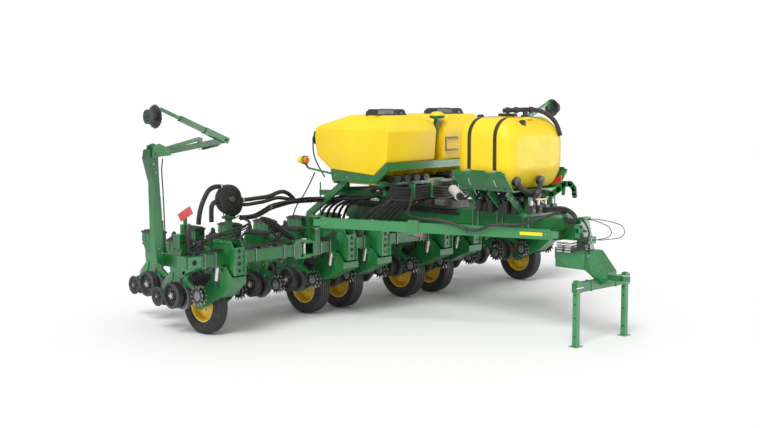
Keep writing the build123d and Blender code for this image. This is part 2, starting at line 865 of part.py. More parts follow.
with BuildPart() as seed_ducts:
    for side in (-1, 1):
        for x in (300, 520, 740, 960):
            rod((side * x, -720, tank_floor - 45), (side * x, -60, tank_floor - 45), 42)
    block((-1040, 1040), (-470, -110), (tank_floor - 235, tank_floor - 175))
save(seed_ducts.part, "seed_ducts")

# Wings -----------------------------------------------------------------------


def marker_frame(side, hand):
    """One folding row marker: mast, middle arm, outer arm and disc."""
    pin = 20
    y_middle = (marker_y - mast_half, marker_y + mast_half)

    def turn(points):
        return [(side * x, z) for x, z in points]

    with BuildPart() as mast:
        base_x, base_z = mast_base
        top_x, top_z = mast_top
        outline = [
            (base_x - 55, base_z - 30),
            (base_x + 55, base_z - 30),
            (base_x + 95, base_z + 260),
            (top_x + 50, top_z - 420),
            (top_x + 150, top_z - 60),
            (top_x + 120, top_z + 70),
            (top_x - 50, top_z + 60),
            (top_x - 60, top_z - 300),
            (base_x - 60, base_z + 300),
        ]
        front_shape(turn(outline), y_middle)
        y_pin = (marker_y - 105, marker_y + 105)
        rod(
            (side * base_x, y_pin[0], base_z),
            (side * base_x, y_pin[1], base_z),
            pin + fit_gap,
            Mode.SUBTRACT,
        )
        rod((side * top_x, y_pin[0], top_z), (side * top_x, y_pin[1], top_z), pin)
    save(mast.part, f"{hand}_marker_mast")

    with BuildPart() as middle_arm:
        for way in (-1, 1):
            plate_y = (marker_y + way * (mast_half + 5), marker_y + way * (mast_half + 30))
            plate = [
                (top_x + 60, top_z - 50),
                (top_x - 260, top_z - 30),
                (top_x - 260, top_z + 60),
                (top_x - 60, top_z + 150),
                (top_x + 40, top_z + 120),
                (top_x + 70, top_z),
            ]
            front_shape(turn(plate), plate_y)
        block(
            (side * (top_x - 260), side * (top_x - 160)),
            (marker_y - mast_half - 5, marker_y + mast_half + 5),
            (top_z - 25, top_z + 55),
        )
        rod(
            (side * top_x, marker_y - 100, top_z),
            (side * top_x, marker_y + 100, top_z),
            pin + fit_gap,
            Mode.SUBTRACT,
        )
        beam((side * (top_x - 200), marker_y, top_z + 15), (side * elbow[0], marker_y, elbow[1]), 60, 80)
        beam((side * (top_x - 170), marker_y, top_z + 55), (side * 3900, marker_y, 2985), 50, 50)
        block((side * 3870, side * 3930), (marker_y - 25, marker_y + 25), (2880, 3000))
        rod((side * elbow[0], marker_y - 95, elbow[1]), (side * elbow[0], marker_y + 95, elbow[1]), pin)
    save(middle_arm.part, f"{hand}_marker_middle_arm")

    with BuildPart() as outer_arm:
        run = Vector(side * (tip[0] - elbow[0]), 0, tip[1] - elbow[1])
        along = run.normalized()
        start = Vector(side * elbow[0], marker_y, elbow[1])
        for way in (-1, 1):
            offset = Vector(0, way * 47, 0)
            beam(start + offset - along * 40, start + offset + along * 420, 24, 90)
        beam(start + along * 320, start + along * 420, 80, 90)
        beam(start + along * 400, start + along * 900, 80, 80)
        end = Vector(side * tip[0], marker_y, tip[1])
        beam(start + along * 880, end, 50, 50)
        rod(
            (side * elbow[0], marker_y - 80, elbow[1]),
            (side * elbow[0], marker_y + 80, elbow[1]),
            pin + fit_gap,
            Mode.SUBTRACT,
        )
        block(
            (side * (tip[0] - 10), side * (tip[0] + 40)),
            (marker_y - 25, marker_y + 25),
            (marker_axle[1] - 25, tip[1] + 10),
        )
        rod(
            (side * (tip[0] + 20), marker_y, marker_axle[1]),
            (side * (tip[0] + 290), marker_y, marker_axle[1]),
            15,
        )
    save(outer_arm.part, f"{hand}_marker_outer_arm")

    with BuildPart() as marker_disc:
        bore = 15 + fit_gap
        offsets = [
            (45, bore),
            (45, 50),
            (85, 55),
            (85, marker_disc_radius),
            (95, marker_disc_radius),
            (95, 60),
            (170, 60),
            (170, 110),
            (230, 110),
            (230, bore),
        ]
        turned(
            side * tip[0], marker_y, marker_axle[1], [(side * offset, radius) for offset, radius in offsets],
        )
    save(marker_disc.part, f"{hand}_marker_disc")


with BuildPart() as wing_arm:
    lift_arm(wing_axle_y, wing_tyre_radius, wing_tyre_half)
with BuildPart() as wing_cylinder:
    lift_cylinder(wing_axle_y)
with BuildPart() as wing_tyre:
    tyre(wing_axle_y, wing_tyre_radius, wing_tyre_half, wing_rim_radius)
with BuildPart() as wing_rim:
    rim(wing_axle_y, wing_tyre_radius, wing_tyre_half, wing_rim_radius)

for side, hand in ((-1, "right"), (1, "left")):
    rows = [(side * x, face) for x, face in wing_rows]
    with BuildPart() as wing_toolbars:
        # The rear toolbar starts further out, clear of the centre section's last row.
        inner_end = side * (wing_start + 270)
        ties = [side * x for x in (4 * row_spacing, wing_wheel_x - tie_offset)]
        toolbar_frame((inner_end, side * wing_end), (inner_end, side * rear_wing_end), ties)
        # A short tie back from the end of the front toolbar carries the marker.
        block(
            (side * (wing_end - 80), side * (wing_end - 20)),
            (bar_size, marker_y + 120),
            (bar_bottom, bar_top),
        )
        block((side * wing_start, side * (wing_start + 270)), (0, bar_size), (bar_bottom, bar_top))
        for low in (bar_top + lug_thickness + side_gap, bar_bottom - 2 * lug_thickness - side_gap):
            block(
                (side * (hinge_x - lug_reach), side * (wing_start + 140)),
                (0, bar_size),
                (low, low + lug_thickness),
            )
        joggle = (side * (wing_start + 20), side * (wing_start + 140))
        block(joggle, (0, bar_size), (bar_top, bar_top + lug_thickness + side_gap))
        block(joggle, (0, bar_size), (bar_bottom - lug_thickness - side_gap, bar_bottom))
        rod(
            (side * hinge_x, hinge_y, bar_bottom - 60),
            (side * hinge_x, hinge_y, bar_top + 60),
            hinge_pin_radius + fit_gap,
            Mode.SUBTRACT,
        )
        block(
            (side * wing_end, side * (wing_end + 20)), (-10, bar_size + 10), (bar_bottom - 10, bar_top + 10),
        )
        # Lugs and pin that carry the marker.
        for way in (-1, 1):
            lug_y = (marker_y + way * (mast_half + 8), marker_y + way * (mast_half + 38))
            front_shape(
                [
                    (side * 4600, 1135), (side * 4600, 1300), (side * 4690, 1250),
                    (side * 4750, 1190), (side * 4700, 1135),
                ],
                lug_y,
            )
        base_x, base_z = mast_base
        rod((side * base_x, marker_y - 100, base_z), (side * base_x, marker_y + 100, base_z), 20)
    place = [(side * wing_wheel_x, 0)]
    bolted = wing_toolbars.part.solids() + copies(bracket.part, place).solids()
    save(Compound(children=bolted), f"{hand}_wing_toolbars")

    save(copies(unit.part, rows), f"{hand}_wing_row_units")
    save(copies(unit_discs.part, rows), f"{hand}_wing_row_discs")
    for rank, face in (("front", 0), ("rear", rank_gap)):
        rank_rows = [place for place in rows if place[1] == face]
        save(copies(unit_wheels.part, rank_rows), f"{hand}_wing_gauge_wheels_{rank}")
    save(copies(wing_arm.part, place), f"{hand}_wing_lift_arm")
    save(copies(wing_cylinder.part, place), f"{hand}_wing_lift_cylinder")
    save(copies(wing_tyre.part, place), f"{hand}_wing_tyre")
    save(copies(wing_rim.part, place), f"{hand}_wing_rim")
    marker_frame(side, hand)

with BuildPart() as vacuum_fan:
    fan_x, fan_y, fan_z = -3048, 1020, 1990
    fan_radius = 235
    with BuildSketch(Plane.XZ.offset(-fan_y - 70)) as housing:
        with Locations((fan_x, fan_z)):
            Circle(fan_radius)
        with Locations((fan_x + 70, fan_z - 90)):
            Circle(fan_radius - 45)
    extrude(housing.sketch, amount=140)
    block((fan_x - 40, fan_x + 40), (fan_y - 40, fan_y + 40), (bar_top, fan_z - 150))
    # Two wide ducts that leave the housing and turn down to the row units.
    high_duct = [(-3060, 2160), (-3240, 2205), (-3400, 2185), (-3540, 2020), (-3620, 1830), (-3640, 1620)]
    low_duct = [(-3100, 1955), (-3230, 1968), (-3345, 1955), (-3385, 1830), (-3385, 1640)]
    for duct in (high_duct, low_duct):
        hose([(x, fan_y, z) for x, z in duct], duct_radius)
save(vacuum_fan.part, "vacuum_fan")
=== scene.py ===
import math

import bpy
import bmesh
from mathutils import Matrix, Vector


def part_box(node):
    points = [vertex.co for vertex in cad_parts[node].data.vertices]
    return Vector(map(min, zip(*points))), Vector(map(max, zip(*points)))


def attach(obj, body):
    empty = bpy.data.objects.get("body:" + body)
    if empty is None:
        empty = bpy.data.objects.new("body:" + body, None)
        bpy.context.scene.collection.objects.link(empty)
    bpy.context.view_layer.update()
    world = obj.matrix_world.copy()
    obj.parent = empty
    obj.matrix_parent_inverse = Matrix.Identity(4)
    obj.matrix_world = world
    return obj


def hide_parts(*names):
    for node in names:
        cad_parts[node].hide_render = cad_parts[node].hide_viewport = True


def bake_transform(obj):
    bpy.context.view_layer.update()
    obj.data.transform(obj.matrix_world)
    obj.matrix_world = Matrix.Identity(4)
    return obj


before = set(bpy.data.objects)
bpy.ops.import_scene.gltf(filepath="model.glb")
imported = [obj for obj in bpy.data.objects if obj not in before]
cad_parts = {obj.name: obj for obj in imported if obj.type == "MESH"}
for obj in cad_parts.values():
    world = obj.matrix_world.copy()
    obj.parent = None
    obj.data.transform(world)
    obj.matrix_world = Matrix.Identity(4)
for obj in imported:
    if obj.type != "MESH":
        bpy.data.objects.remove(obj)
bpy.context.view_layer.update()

# Every position below is laid out from the front face of the front toolbar, in metres.
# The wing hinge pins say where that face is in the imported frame.
HINGE_Y = 0.089
pin_low, pin_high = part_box("hinge_pins")
FACE = Vector((0, (pin_low.y + pin_high.y) / 2 - HINGE_Y, 0))

ROW_SPACING = 0.762
RANK_GAP = 1.2
BAR_BOTTOM = 1.131
BAR_TOP = 1.309
SIDES = ((-1, "right"), (1, "left"))


def linked(name, data):
    """A new object made from some data and put in the scene."""
    newcomer = bpy.data.objects.new(name, data)
    bpy.context.scene.collection.objects.link(newcomer)
    return newcomer


def flip(side, points):
    """Points laid out for the left-hand side, moved to a side."""
    return [(side * x, y, z) for x, y, z in points]


# Camera ----------------------------------------------------------------------

camera_data = bpy.data.cameras.new("camera")
camera_data.lens = 59.9
camera_data.sensor_width = 36
camera_data.clip_end = 200
camera = linked("camera", camera_data)
camera.location = FACE + Vector((-15.378, -14.809, 3.812))
camera.rotation_euler = Vector((0.70073, 0.70599, -0.10279)).to_track_quat("-Z", "Y").to_euler()
bpy.context.scene.camera = camera

# Shared surface effects ------------------------------------------------------


def effect(name, inputs, outputs):
    """A new shader node group: returns its tree, its input node and its output node."""
    tree = bpy.data.node_groups.new(name, "ShaderNodeTree")
    for label, kind, value in inputs:
        socket = tree.interface.new_socket(label, in_out="INPUT", socket_type=kind)
        socket.default_value = value
    for label, kind in outputs:
        tree.interface.new_socket(label, in_out="OUTPUT", socket_type=kind)
    return tree, tree.nodes.new("NodeGroupInput"), tree.nodes.new("NodeGroupOutput")


def noise(tree, detail, scale_socket=None, scale=5.0):
    """Noise on the object's own coordinates."""
    where = tree.nodes.new("ShaderNodeTexCoord")
    texture = tree.nodes.new("ShaderNodeTexNoise")
    texture.inputs["Detail"].default_value = detail
    texture.inputs["Scale"].default_value = scale
    tree.links.new(where.outputs["Object"], texture.inputs["Vector"])
    if scale_socket is not None:
        tree.links.new(scale_socket, texture.inputs["Scale"])
    return texture.outputs["Fac"]


def spread(tree, value, low, high, low_socket=None, high_socket=None):
    """Maps a 0 to 1 value onto another range."""
    ramp = tree.nodes.new("ShaderNodeMapRange")
    ramp.inputs["From Min"].default_value = 0.3
    ramp.inputs["From Max"].default_value = 0.7
    ramp.inputs["To Min"].default_value = low
    ramp.inputs["To Max"].default_value = high
    tree.links.new(value, ramp.inputs["Value"])
    if low_socket is not None:
        tree.links.new(low_socket, ramp.inputs["To Min"])
        tree.links.new(high_socket, ramp.inputs["To Max"])
    return ramp.outputs["Result"]


def mixed(tree, factor, first, second):
    """One colour faded into another."""
    mix = tree.nodes.new("ShaderNodeMix")
    mix.data_type = "RGBA"
    tree.links.new(factor, mix.inputs[0])
    for socket, index in ((first, 6), (second, 7)):
        tree.links.new(socket, mix.inputs[index])
    return mix.outputs[2]


def times(tree, first, second, clamped=False):
    """The product of two values."""
    product = tree.nodes.new("ShaderNodeMath")
    product.operation = "MULTIPLY"
    product.use_clamp = clamped
    tree.links.new(first, product.inputs[0])
    tree.links.new(second, product.inputs[1])
    return product.outputs[0]


FLOAT = "NodeSocketFloat"
COLOUR = "NodeSocketColor"

mottle, given, made = effect(
    "mottle",
    [
        ("Scale", FLOAT, 4.0),
        ("Deep", COLOUR, (0, 0, 0, 1)),
        ("Light", COLOUR, (1, 1, 1, 1)),
        ("Smoothest", FLOAT, 0.3),
        ("Roughest", FLOAT, 0.5),
    ],
    [("Colour", COLOUR), ("Roughness", FLOAT)],
)
patches = noise(mottle, 6.0, given.outputs["Scale"])
shade = spread(mottle, patches, 0, 1)
mottle.links.new(mixed(mottle, shade, given.outputs["Deep"], given.outputs["Light"]), made.inputs["Colour"])
smears = noise(mottle, 3.0, scale=9.0)
finish_range = spread(mottle, smears, 0, 1, given.outputs["Smoothest"], given.outputs["Roughest"])
mottle.links.new(finish_range, made.inputs["Roughness"])

grain, given, made = effect(
    "grain",
    [("Scale", FLOAT, 200.0), ("Strength", FLOAT, 0.2), ("Depth", FLOAT, 0.001)],
    [("Normal", "NodeSocketVector")],
)
raised = grain.nodes.new("ShaderNodeBump")
grain.links.new(noise(grain, 4.0, given.outputs["Scale"]), raised.inputs["Height"])
grain.links.new(given.outputs["Strength"], raised.inputs["Strength"])
grain.links.new(given.outputs["Depth"], raised.inputs["Distance"])
grain.links.new(raised.outputs["Normal"], made.inputs["Normal"])

# Painted highlight: faces at sharp convex edges fade towards a paler edge colour, standing in for the sheen that
# catches edges.
painted_edge_highlight, given, made = effect(
    "painted_edge_highlight",
    [("Base", COLOUR, (0, 0, 0, 1)), ("Edge", COLOUR, (1, 1, 1, 1)), ("Amount", FLOAT, 1.0)],
    [("Colour", COLOUR), ("Mask", FLOAT)],
)
surface = painted_edge_highlight.nodes.new("ShaderNodeNewGeometry")
sharpness = painted_edge_highlight.nodes.new("ShaderNodeMapRange")
sharpness.inputs["From Min"].default_value = 0.52
sharpness.inputs["From Max"].default_value = 0.60
painted_edge_highlight.links.new(surface.outputs["Pointiness"], sharpness.inputs["Value"])
painted_highlight_mask = times(painted_edge_highlight, sharpness.outputs["Result"], given.outputs["Amount"])
painted_edge_highlight.links.new(painted_highlight_mask, made.inputs["Mask"])
edged = mixed(painted_edge_highlight, painted_highlight_mask, given.outputs["Base"], given.outputs["Edge"])
painted_edge_highlight.links.new(edged, made.inputs["Colour"])

dust, given, made = effect(
    "dust",
    [("Base", COLOUR, (0, 0, 0, 1)), ("Dust", COLOUR, (0.3, 0.27, 0.2, 1)), ("Amount", FLOAT, 0.2)],
    [("Colour", COLOUR)],
)
facing = dust.nodes.new("ShaderNodeNewGeometry")
parts = dust.nodes.new("ShaderNodeSeparateXYZ")
dust.links.new(facing.outputs["Normal"], parts.inputs[0])
upward = times(dust, parts.outputs["Z"], spread(dust, noise(dust, 5.0, scale=6.0), 0, 1), clamped=True)
settled = times(dust, upward, given.outputs["Amount"])
dust.links.new(mixed(dust, settled, given.outputs["Base"], given.outputs["Dust"]), made.inputs["Colour"])


def placed(material, tree, **values):
    """One effect placed in a material with its own values."""
    node = material.node_tree.nodes.new("ShaderNodeGroup")
    node.node_tree = tree
    for label, value in values.items():
        node.inputs[label].default_value = value
    return node


def finish(name, deep, light, smooth, rough, scale=4.0, edge=None, edge_highlight_amount=0.0, dusty=0.0,
           grain_scale=250.0, grain_strength=0.0, metallic=0.0, coat=0.0):
    """A finish made from the shared effects."""
    material = bpy.data.materials.new(name)
    material.use_nodes = True
    links = material.node_tree.links
    shader = material.node_tree.nodes["Principled BSDF"]
    shader.inputs["Metallic"].default_value = metallic
    shader.inputs["Coat Weight"].default_value = coat
    shader.inputs["Coat Roughness"].default_value = 0.12
    base = placed(material, mottle, Scale=scale, Deep=(*deep, 1), Light=(*light, 1), Smoothest=smooth, Roughest=rough)
    colour = base.outputs["Colour"]
    links.new(base.outputs["Roughness"], shader.inputs["Roughness"])
    # Painted highlight on sharp edges, in the given edge colour.
    if edge:
        edges = placed(material, painted_edge_highlight, Edge=(*edge, 1), Amount=edge_highlight_amount)
        links.new(colour, edges.inputs["Base"])
        colour = edges.outputs["Colour"]
    if dusty:
        settled_dust = placed(material, dust, Amount=dusty)
        links.new(colour, settled_dust.inputs["Base"])
        colour = settled_dust.outputs["Colour"]
    links.new(colour, shader.inputs["Base Color"])
    if grain_strength:
        bumps = placed(material, grain, Scale=grain_scale, Strength=grain_strength)
        links.new(bumps.outputs["Normal"], shader.inputs["Normal"])
    return material


# Where a finish has a third colour, it is a painted highlight faded onto sharp edges by the amount that follows it.
FINISHES = {
    "frame_green": finish("frame_green", (0.002, 0.080, 0.012), (0.004, 0.115, 0.019), 0.32, 0.46, 2.0,
                          (0.03, 0.24, 0.07), 0.5, 0.03, 60, 0.04, coat=0.3),
    "bracket_green": finish("bracket_green", (0.005, 0.120, 0.026), (0.010, 0.165, 0.040), 0.28, 0.42, 3.0,
                            (0.06, 0.32, 0.11), 0.6, 0.03, 60, 0.04, coat=0.35),
    "tank_yellow": finish("tank_yellow", (0.88, 0.60, 0.004), (0.94, 0.69, 0.012), 0.46, 0.60, 1.6,
                          (1.0, 0.80, 0.08), 0.25, 0.02, 90, 0.05, coat=0.04),
    "rim_yellow": finish("rim_yellow", (0.80, 0.46, 0.004), (0.90, 0.58, 0.01), 0.25, 0.4, 8.0,
                         (1.0, 0.75, 0.1), 0.4, 0.08, 80, 0.03, coat=0.4),
    "tyre_black": finish("tyre_black", (0.010, 0.010, 0.011), (0.022, 0.022, 0.024), 0.5, 0.72, 7.0,
                         (0.06, 0.06, 0.06), 0.5, 0.10, 300, 0.25),
    "gauge_rubber": finish("gauge_rubber", (0.014, 0.014, 0.015), (0.032, 0.032, 0.034), 0.45, 0.65, 9.0,
                           (0.09, 0.09, 0.09), 0.5, 0.08, 300, 0.2),
    "black_plastic": finish("black_plastic", (0.010, 0.010, 0.011), (0.022, 0.022, 0.023), 0.32, 0.5, 6.0,
                            (0.07, 0.07, 0.07), 0.5, 0.06, 400, 0.12),
    "hose_black": finish("hose_black", (0.016, 0.015, 0.015), (0.032, 0.030, 0.030), 0.4, 0.58, 12.0,
                         None, 0.0, 0.05, 500, 0.25),
    "bare_steel": finish("bare_steel", (0.50, 0.50, 0.49), (0.70, 0.70, 0.69), 0.22, 0.38, 14.0,
                         (0.9, 0.9, 0.9), 0.4, 0.0, 180, 0.06, metallic=0.9),
    "disc_steel": finish("disc_steel", (0.030, 0.030, 0.032), (0.085, 0.085, 0.09), 0.28, 0.5, 11.0,
                         (0.45, 0.45, 0.45), 0.8, 0.08, 150, 0.08, metallic=0.6),
    "zinc_bolt": finish("zinc_bolt", (0.16, 0.19, 0.16), (0.30, 0.34, 0.29), 0.3, 0.45, 20.0,
                        None, 0.0, 0.0, 300, 0.05, metallic=0.5),
    "white_cover": finish("white_cover", (0.62, 0.62, 0.61), (0.78, 0.78, 0.77), 0.35, 0.5, 8.0,
                          (0.9, 0.9, 0.9), 0.3, 0.1, 200, 0.1),
    "red_reflector": finish("red_reflector", (0.55, 0.004, 0.006), (0.75, 0.01, 0.01), 0.12, 0.25, 30.0,
                            None, 0.0, 0.0, 90, 0.3, coat=0.6),
    "amber_lens": finish("amber_lens", (0.85, 0.16, 0.01), (0.95, 0.25, 0.02), 0.12, 0.25, 30.0,
                         None, 0.0, 0.0, 90, 0.3, coat=0.6),
    # Near-black discs laid on plates and wheels: painted shade standing in for holes.
    "dark_hollow": finish("dark_hollow", (0.002, 0.006, 0.003), (0.004, 0.012, 0.006), 0.6, 0.9, 20.0,
                          grain_strength=0.1),
}

# Mesh making -----------------------------------------------------------------


class Piece:
    """Collects the faces of one piece, finish by finish, until it is finished."""

    def __init__(self, name):
        self.name = name
        self.points = []
        self.faces = []
        self.finish_of = []
        self.finishes = []

    def add(self, points, faces, finish_name):
        if finish_name not in self.finishes:
            self.finishes.append(finish_name)
        start = len(self.points)
        self.points.extend(tuple(point) for point in points)
        self.faces.extend(tuple(start + corner for corner in face) for face in faces)
        self.finish_of.extend([self.finishes.index(finish_name)] * len(faces))
        return self

    def prism(self, low_ring, high_ring, finish_name):
        """Two matching rings of points joined by side faces, closed at both ends."""
        count = len(low_ring)
        faces = [tuple(reversed(range(count))), tuple(range(count, 2 * count))]
        for corner in range(count):
            after = (corner + 1) % count
            faces.append((corner, after, count + after, count + corner))
        return self.add([*low_ring, *high_ring], faces, finish_name)

    def block(self, x, y, z, finish_name):
        low_x, high_x = sorted(x)
        low_y, high_y = sorted(y)
        ring = [(low_x, low_y), (high_x, low_y), (high_x, high_y), (low_x, high_y)]
        low_z, high_z = sorted(z)
        return self.prism([(a, b, low_z) for a, b in ring], [(a, b, high_z) for a, b in ring], finish_name)

    def plate(self, outline, across, axis, finish_name):
        """An outline in the plane square to one axis, drawn out between two values on it."""
        low, high = sorted(across)
        rings = []
        for value in (low, high):
            if axis == "X":
                rings.append([(value, a, b) for a, b in outline])
            elif axis == "Y":
                rings.append([(a, value, b) for a, b in outline])
            else:
                rings.append([(a, b, value) for a, b in outline])
        return self.prism(*rings, finish_name)

    def beam(self, start, end, width, height, finish_name, end_width=None, end_height=None):
        """A straight bar of box section between two points."""
        start, end = Vector(start), Vector(end)
        along = (end - start).normalized()
        aside = along.cross(Vector((0, 0, 1)))
        aside = aside.normalized() if aside.length > 1e-4 else Vector((1, 0, 0))
        above = aside.cross(along)
        rings = []
        for at, wide, tall in ((start, width, height), (end, end_width or width, end_height or height)):
            a, b = aside * wide / 2, above * tall / 2
            rings.append([at - a - b, at + a - b, at + a + b, at - a + b])
        return self.prism(*rings, finish_name)

    def rod(self, start, end, radius, finish_name, sides=12, end_radius=None):
        """A round bar between two points."""
        start, end = Vector(start), Vector(end)
        turn = (end - start).to_track_quat("Z", "Y")
        rings = []
        for at, size in ((start, radius), (end, end_radius or radius)):
            angles = [2 * math.pi * step / sides for step in range(sides)]
            rings.append([at + turn @ Vector((size * math.cos(t), size * math.sin(t), 0)) for t in angles])
        return self.prism(*rings, finish_name)

    def lathe(self, centre, profile, finish_name, sides=32, axis="X"):
        """A closed profile of (offset, radius) turned round an axis through the centre."""
        centre = Vector(centre)
        points = []
        for step in range(sides):
            angle = 2 * math.pi * step / sides
            c, s = math.cos(angle), math.sin(angle)
            for offset, radius in profile:
                if axis == "X":
                    spot = (offset, radius * c, radius * s)
                elif axis == "Y":
                    spot = (radius * s, offset, radius * c)
                else:
                    spot = (radius * c, radius * s, offset)
                points.append(centre + Vector(spot))
        count = len(profile)
        faces = []
        for step in range(sides):
            here, there = step * count, (step + 1) % sides * count
            for corner in range(count):
                after = (corner + 1) % count
                faces.append((here + corner, here + after, there + after, there + corner))
        return self.add(points, faces, finish_name)

    def toothed(self, centre, across, root, outer, teeth, finish_name, axis="X", lean=0.35):
        """A flat disc with swept teeth round it."""
        outline = []
        for tooth in range(teeth):
            for part, radius in ((0.0, root), (0.28, root), (0.28 + lean, outer), (0.5 + lean, outer * 0.985)):
                angle = 2 * math.pi * (tooth + part) / teeth
                outline.append((radius * math.cos(angle), radius * math.sin(angle)))
        along = "XYZ".index(axis)
        flat = [(centre[(along + 1) % 3] + a, centre[(along + 2) % 3] + b) for a, b in outline]
        if axis == "Y":
            flat = [(b, a) for a, b in flat]
        return self.plate(flat, (centre[along] + across[0], centre[along] + across[1]), axis, finish_name)

    def tube(self, route, radius, sides=10, steps=5, ribs=0.0):
        """A black hose along a smooth line through its points, ribbed where asked."""
        ends = [Vector(route[0]), *(Vector(point) for point in route), Vector(route[-1])]
        line = []
        for a, b, c, d in zip(ends, ends[1:], ends[2:], ends[3:]):
            for step in range(steps):
                t = step / steps
                line.append(
                    0.5 * (2 * b + (c - a) * t + (2 * a - 5 * b + 4 * c - d) * t**2 + (3 * b - a - 3 * c + d) * t**3)
                )
        line.append(ends[-1])
        points, faces = [], []
        aside = None
        for at, spot in enumerate(line):
            along = (line[min(at + 1, len(line) - 1)] - line[max(at - 1, 0)]).normalized()
            if aside is None:
                aside = along.orthogonal().normalized()
            aside = (aside - along * aside.dot(along)).normalized()
            other = along.cross(aside)
            size = radius * (1 + (ribs if at % 2 else -ribs))
            for side in range(sides):
                angle = 2 * math.pi * side / sides
                points.append(spot + aside * size * math.cos(angle) + other * size * math.sin(angle))
        for at in range(len(line) - 1):
            for side in range(sides):
                after = (side + 1) % sides
                here, there = at * sides, (at + 1) * sides
                faces.append((here + side, here + after, there + after, there + side))
        last = (len(line) - 1) * sides
        faces.append(tuple(reversed(range(sides))))
        faces.append(tuple(range(last, last + sides)))
        return self.add(points, faces, "hose_black")

    def bolt(self, at, axis, size, finish_name="zinc_bolt"):
        """A hexagon bolt head on a washer, facing along an axis."""
        at, axis = Vector(at), Vector(axis).normalized()
        self.rod(at, at + axis * size * 0.25, size * 1.35, finish_name, 12)
        return self.rod(at + axis * size * 0.25, at + axis * size * 0.95, size, finish_name, 6, size * 0.94)

    def bolt_ring(self, centre, way, radius, count, size, finish_name="zinc_bolt"):
        """Bolts in a circle about an axis along X, facing one way along it."""
        x, y, z = centre
        for bolt in range(count):
            angle = math.tau * bolt / count
            self.bolt((x, y + radius * math.cos(angle), z + radius * math.sin(angle)), (way, 0, 0), size, finish_name)

    def done(self, body, slot, replaced=(), bevel=0.004, sharp=32):
        """Makes the object, puts it on its body and hides the CAD parts it stands in for."""
        mesh = bpy.data.meshes.new(self.name)
        moved = [Vector(point) + FACE for point in self.points]
        mesh.from_pydata(moved, [], self.faces)
        for name in self.finishes:
            mesh.materials.append(FINISHES[name])
        mesh.polygons.foreach_set("material_index", self.finish_of)
        tidy = bmesh.new()
        tidy.from_mesh(mesh)
        bmesh.ops.recalc_face_normals(tidy, faces=tidy.faces)
        tidy.to_mesh(mesh)
        tidy.free()
        mesh.shade_smooth()
        mesh.set_sharp_from_angle(angle=math.radians(sharp))
        piece = linked(self.name, mesh)
        if bevel:
            softened = piece.modifiers.new("bevel", "BEVEL")
            softened.width = bevel
            softened.segments = 2
            softened.limit_method = "ANGLE"
            softened.angle_limit = math.radians(38)
            softened.harden_normals = True
            softened.use_clamp_overlap = True
        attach(piece, body)
        if replaced:
            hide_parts(*replaced)
        return piece


def between(start, end, share):
    """A point part of the way from one to another."""
    return Vector(start) + (Vector(end) - Vector(start)) * share


def sleeve(half, inner, outer):
    """The profile of a plain ring."""
    return [(-half, inner), (-half, outer), (half, outer), (half, inner)]


def twist(strand, turn, up, aside):
    """How far one strand of a bundle lies above and beside the bundle's middle line."""
    return up * math.cos(turn * strand), aside * math.sin(turn * strand)


def bar_line(side, y, line, places):
    """A thin line that wavers along the top of the front toolbar."""
    return [(side * x, y + 0.008 * math.sin(5 * x + line), 1.352 + 0.010 * math.sin(9 * x + 2 * line)) for x in places]


# Free hoses ------------------------------------------------------------------

CORD_RADIUS = 0.006
cords = (
    ("coupler_hose_long_line", "coupler_hose_long", 1.24, (
        (0.060, -3.700, 1.803), (0.060, -3.840, 1.803), (0.066, -3.990, 1.797), (0.072, -4.150, 1.772),
        (0.078, -4.262, 1.745), (0.080, -4.322, 1.655), (0.078, -4.262, 1.568), (0.072, -4.150, 1.540),
        (0.066, -4.010, 1.517), (0.060, -3.890, 1.495), (0.060, -3.792, 1.495),
    )),
    ("coupler_hose_short_line", "coupler_hose_short", 0.98, (
        (-0.060, -3.700, 1.803), (-0.060, -3.815, 1.803), (-0.064, -3.935, 1.790), (-0.068, -4.040, 1.757),
        (-0.072, -4.140, 1.730), (-0.074, -4.195, 1.650), (-0.072, -4.145, 1.572), (-0.068, -4.045, 1.545),
        (-0.064, -3.950, 1.523), (-0.060, -3.870, 1.505), (-0.060, -3.792, 1.505),
    )),
)
for name, node, length, route in cords:
    curve = bpy.data.curves.new(name, "CURVE")
    curve.dimensions = "3D"
    curve.bevel_depth = CORD_RADIUS
    curve.bevel_resolution = 3
    curve.use_fill_caps = True
    curve.resolution_u = 12
    spline = curve.splines.new("NURBS")
    spline.points.add(len(route) - 1)
    for point, place in zip(spline.points, route):
        point.co = (*(Vector(place) + FACE), 1)
    spline.order_u = 3
    spline.use_endpoint_u = True
    curve.materials.append(FINISHES["hose_black"])
    loose_hose = linked(name, curve)
    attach(loose_hose, "hitch")
    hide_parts(node)

# CAD nodes that keep their shape ---------------------------------------------

for name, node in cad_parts.items():
    for use in node.material_slots:
        known = (use.material.name if use.material else "frame_green").split(".")[0]
        use.material = FINISHES[known if known in FINISHES else "frame_green"]

# Row units -------------------------------------------------------------------

AXLE_RADIUS = 0.012
GAUGE_AT = (0.790, 0.625)
CLOSING_AT = (1.270, 0.545)
CLEANER_AT = (0.290, 0.666)
OPENER_AT = (0.700, 0.600)


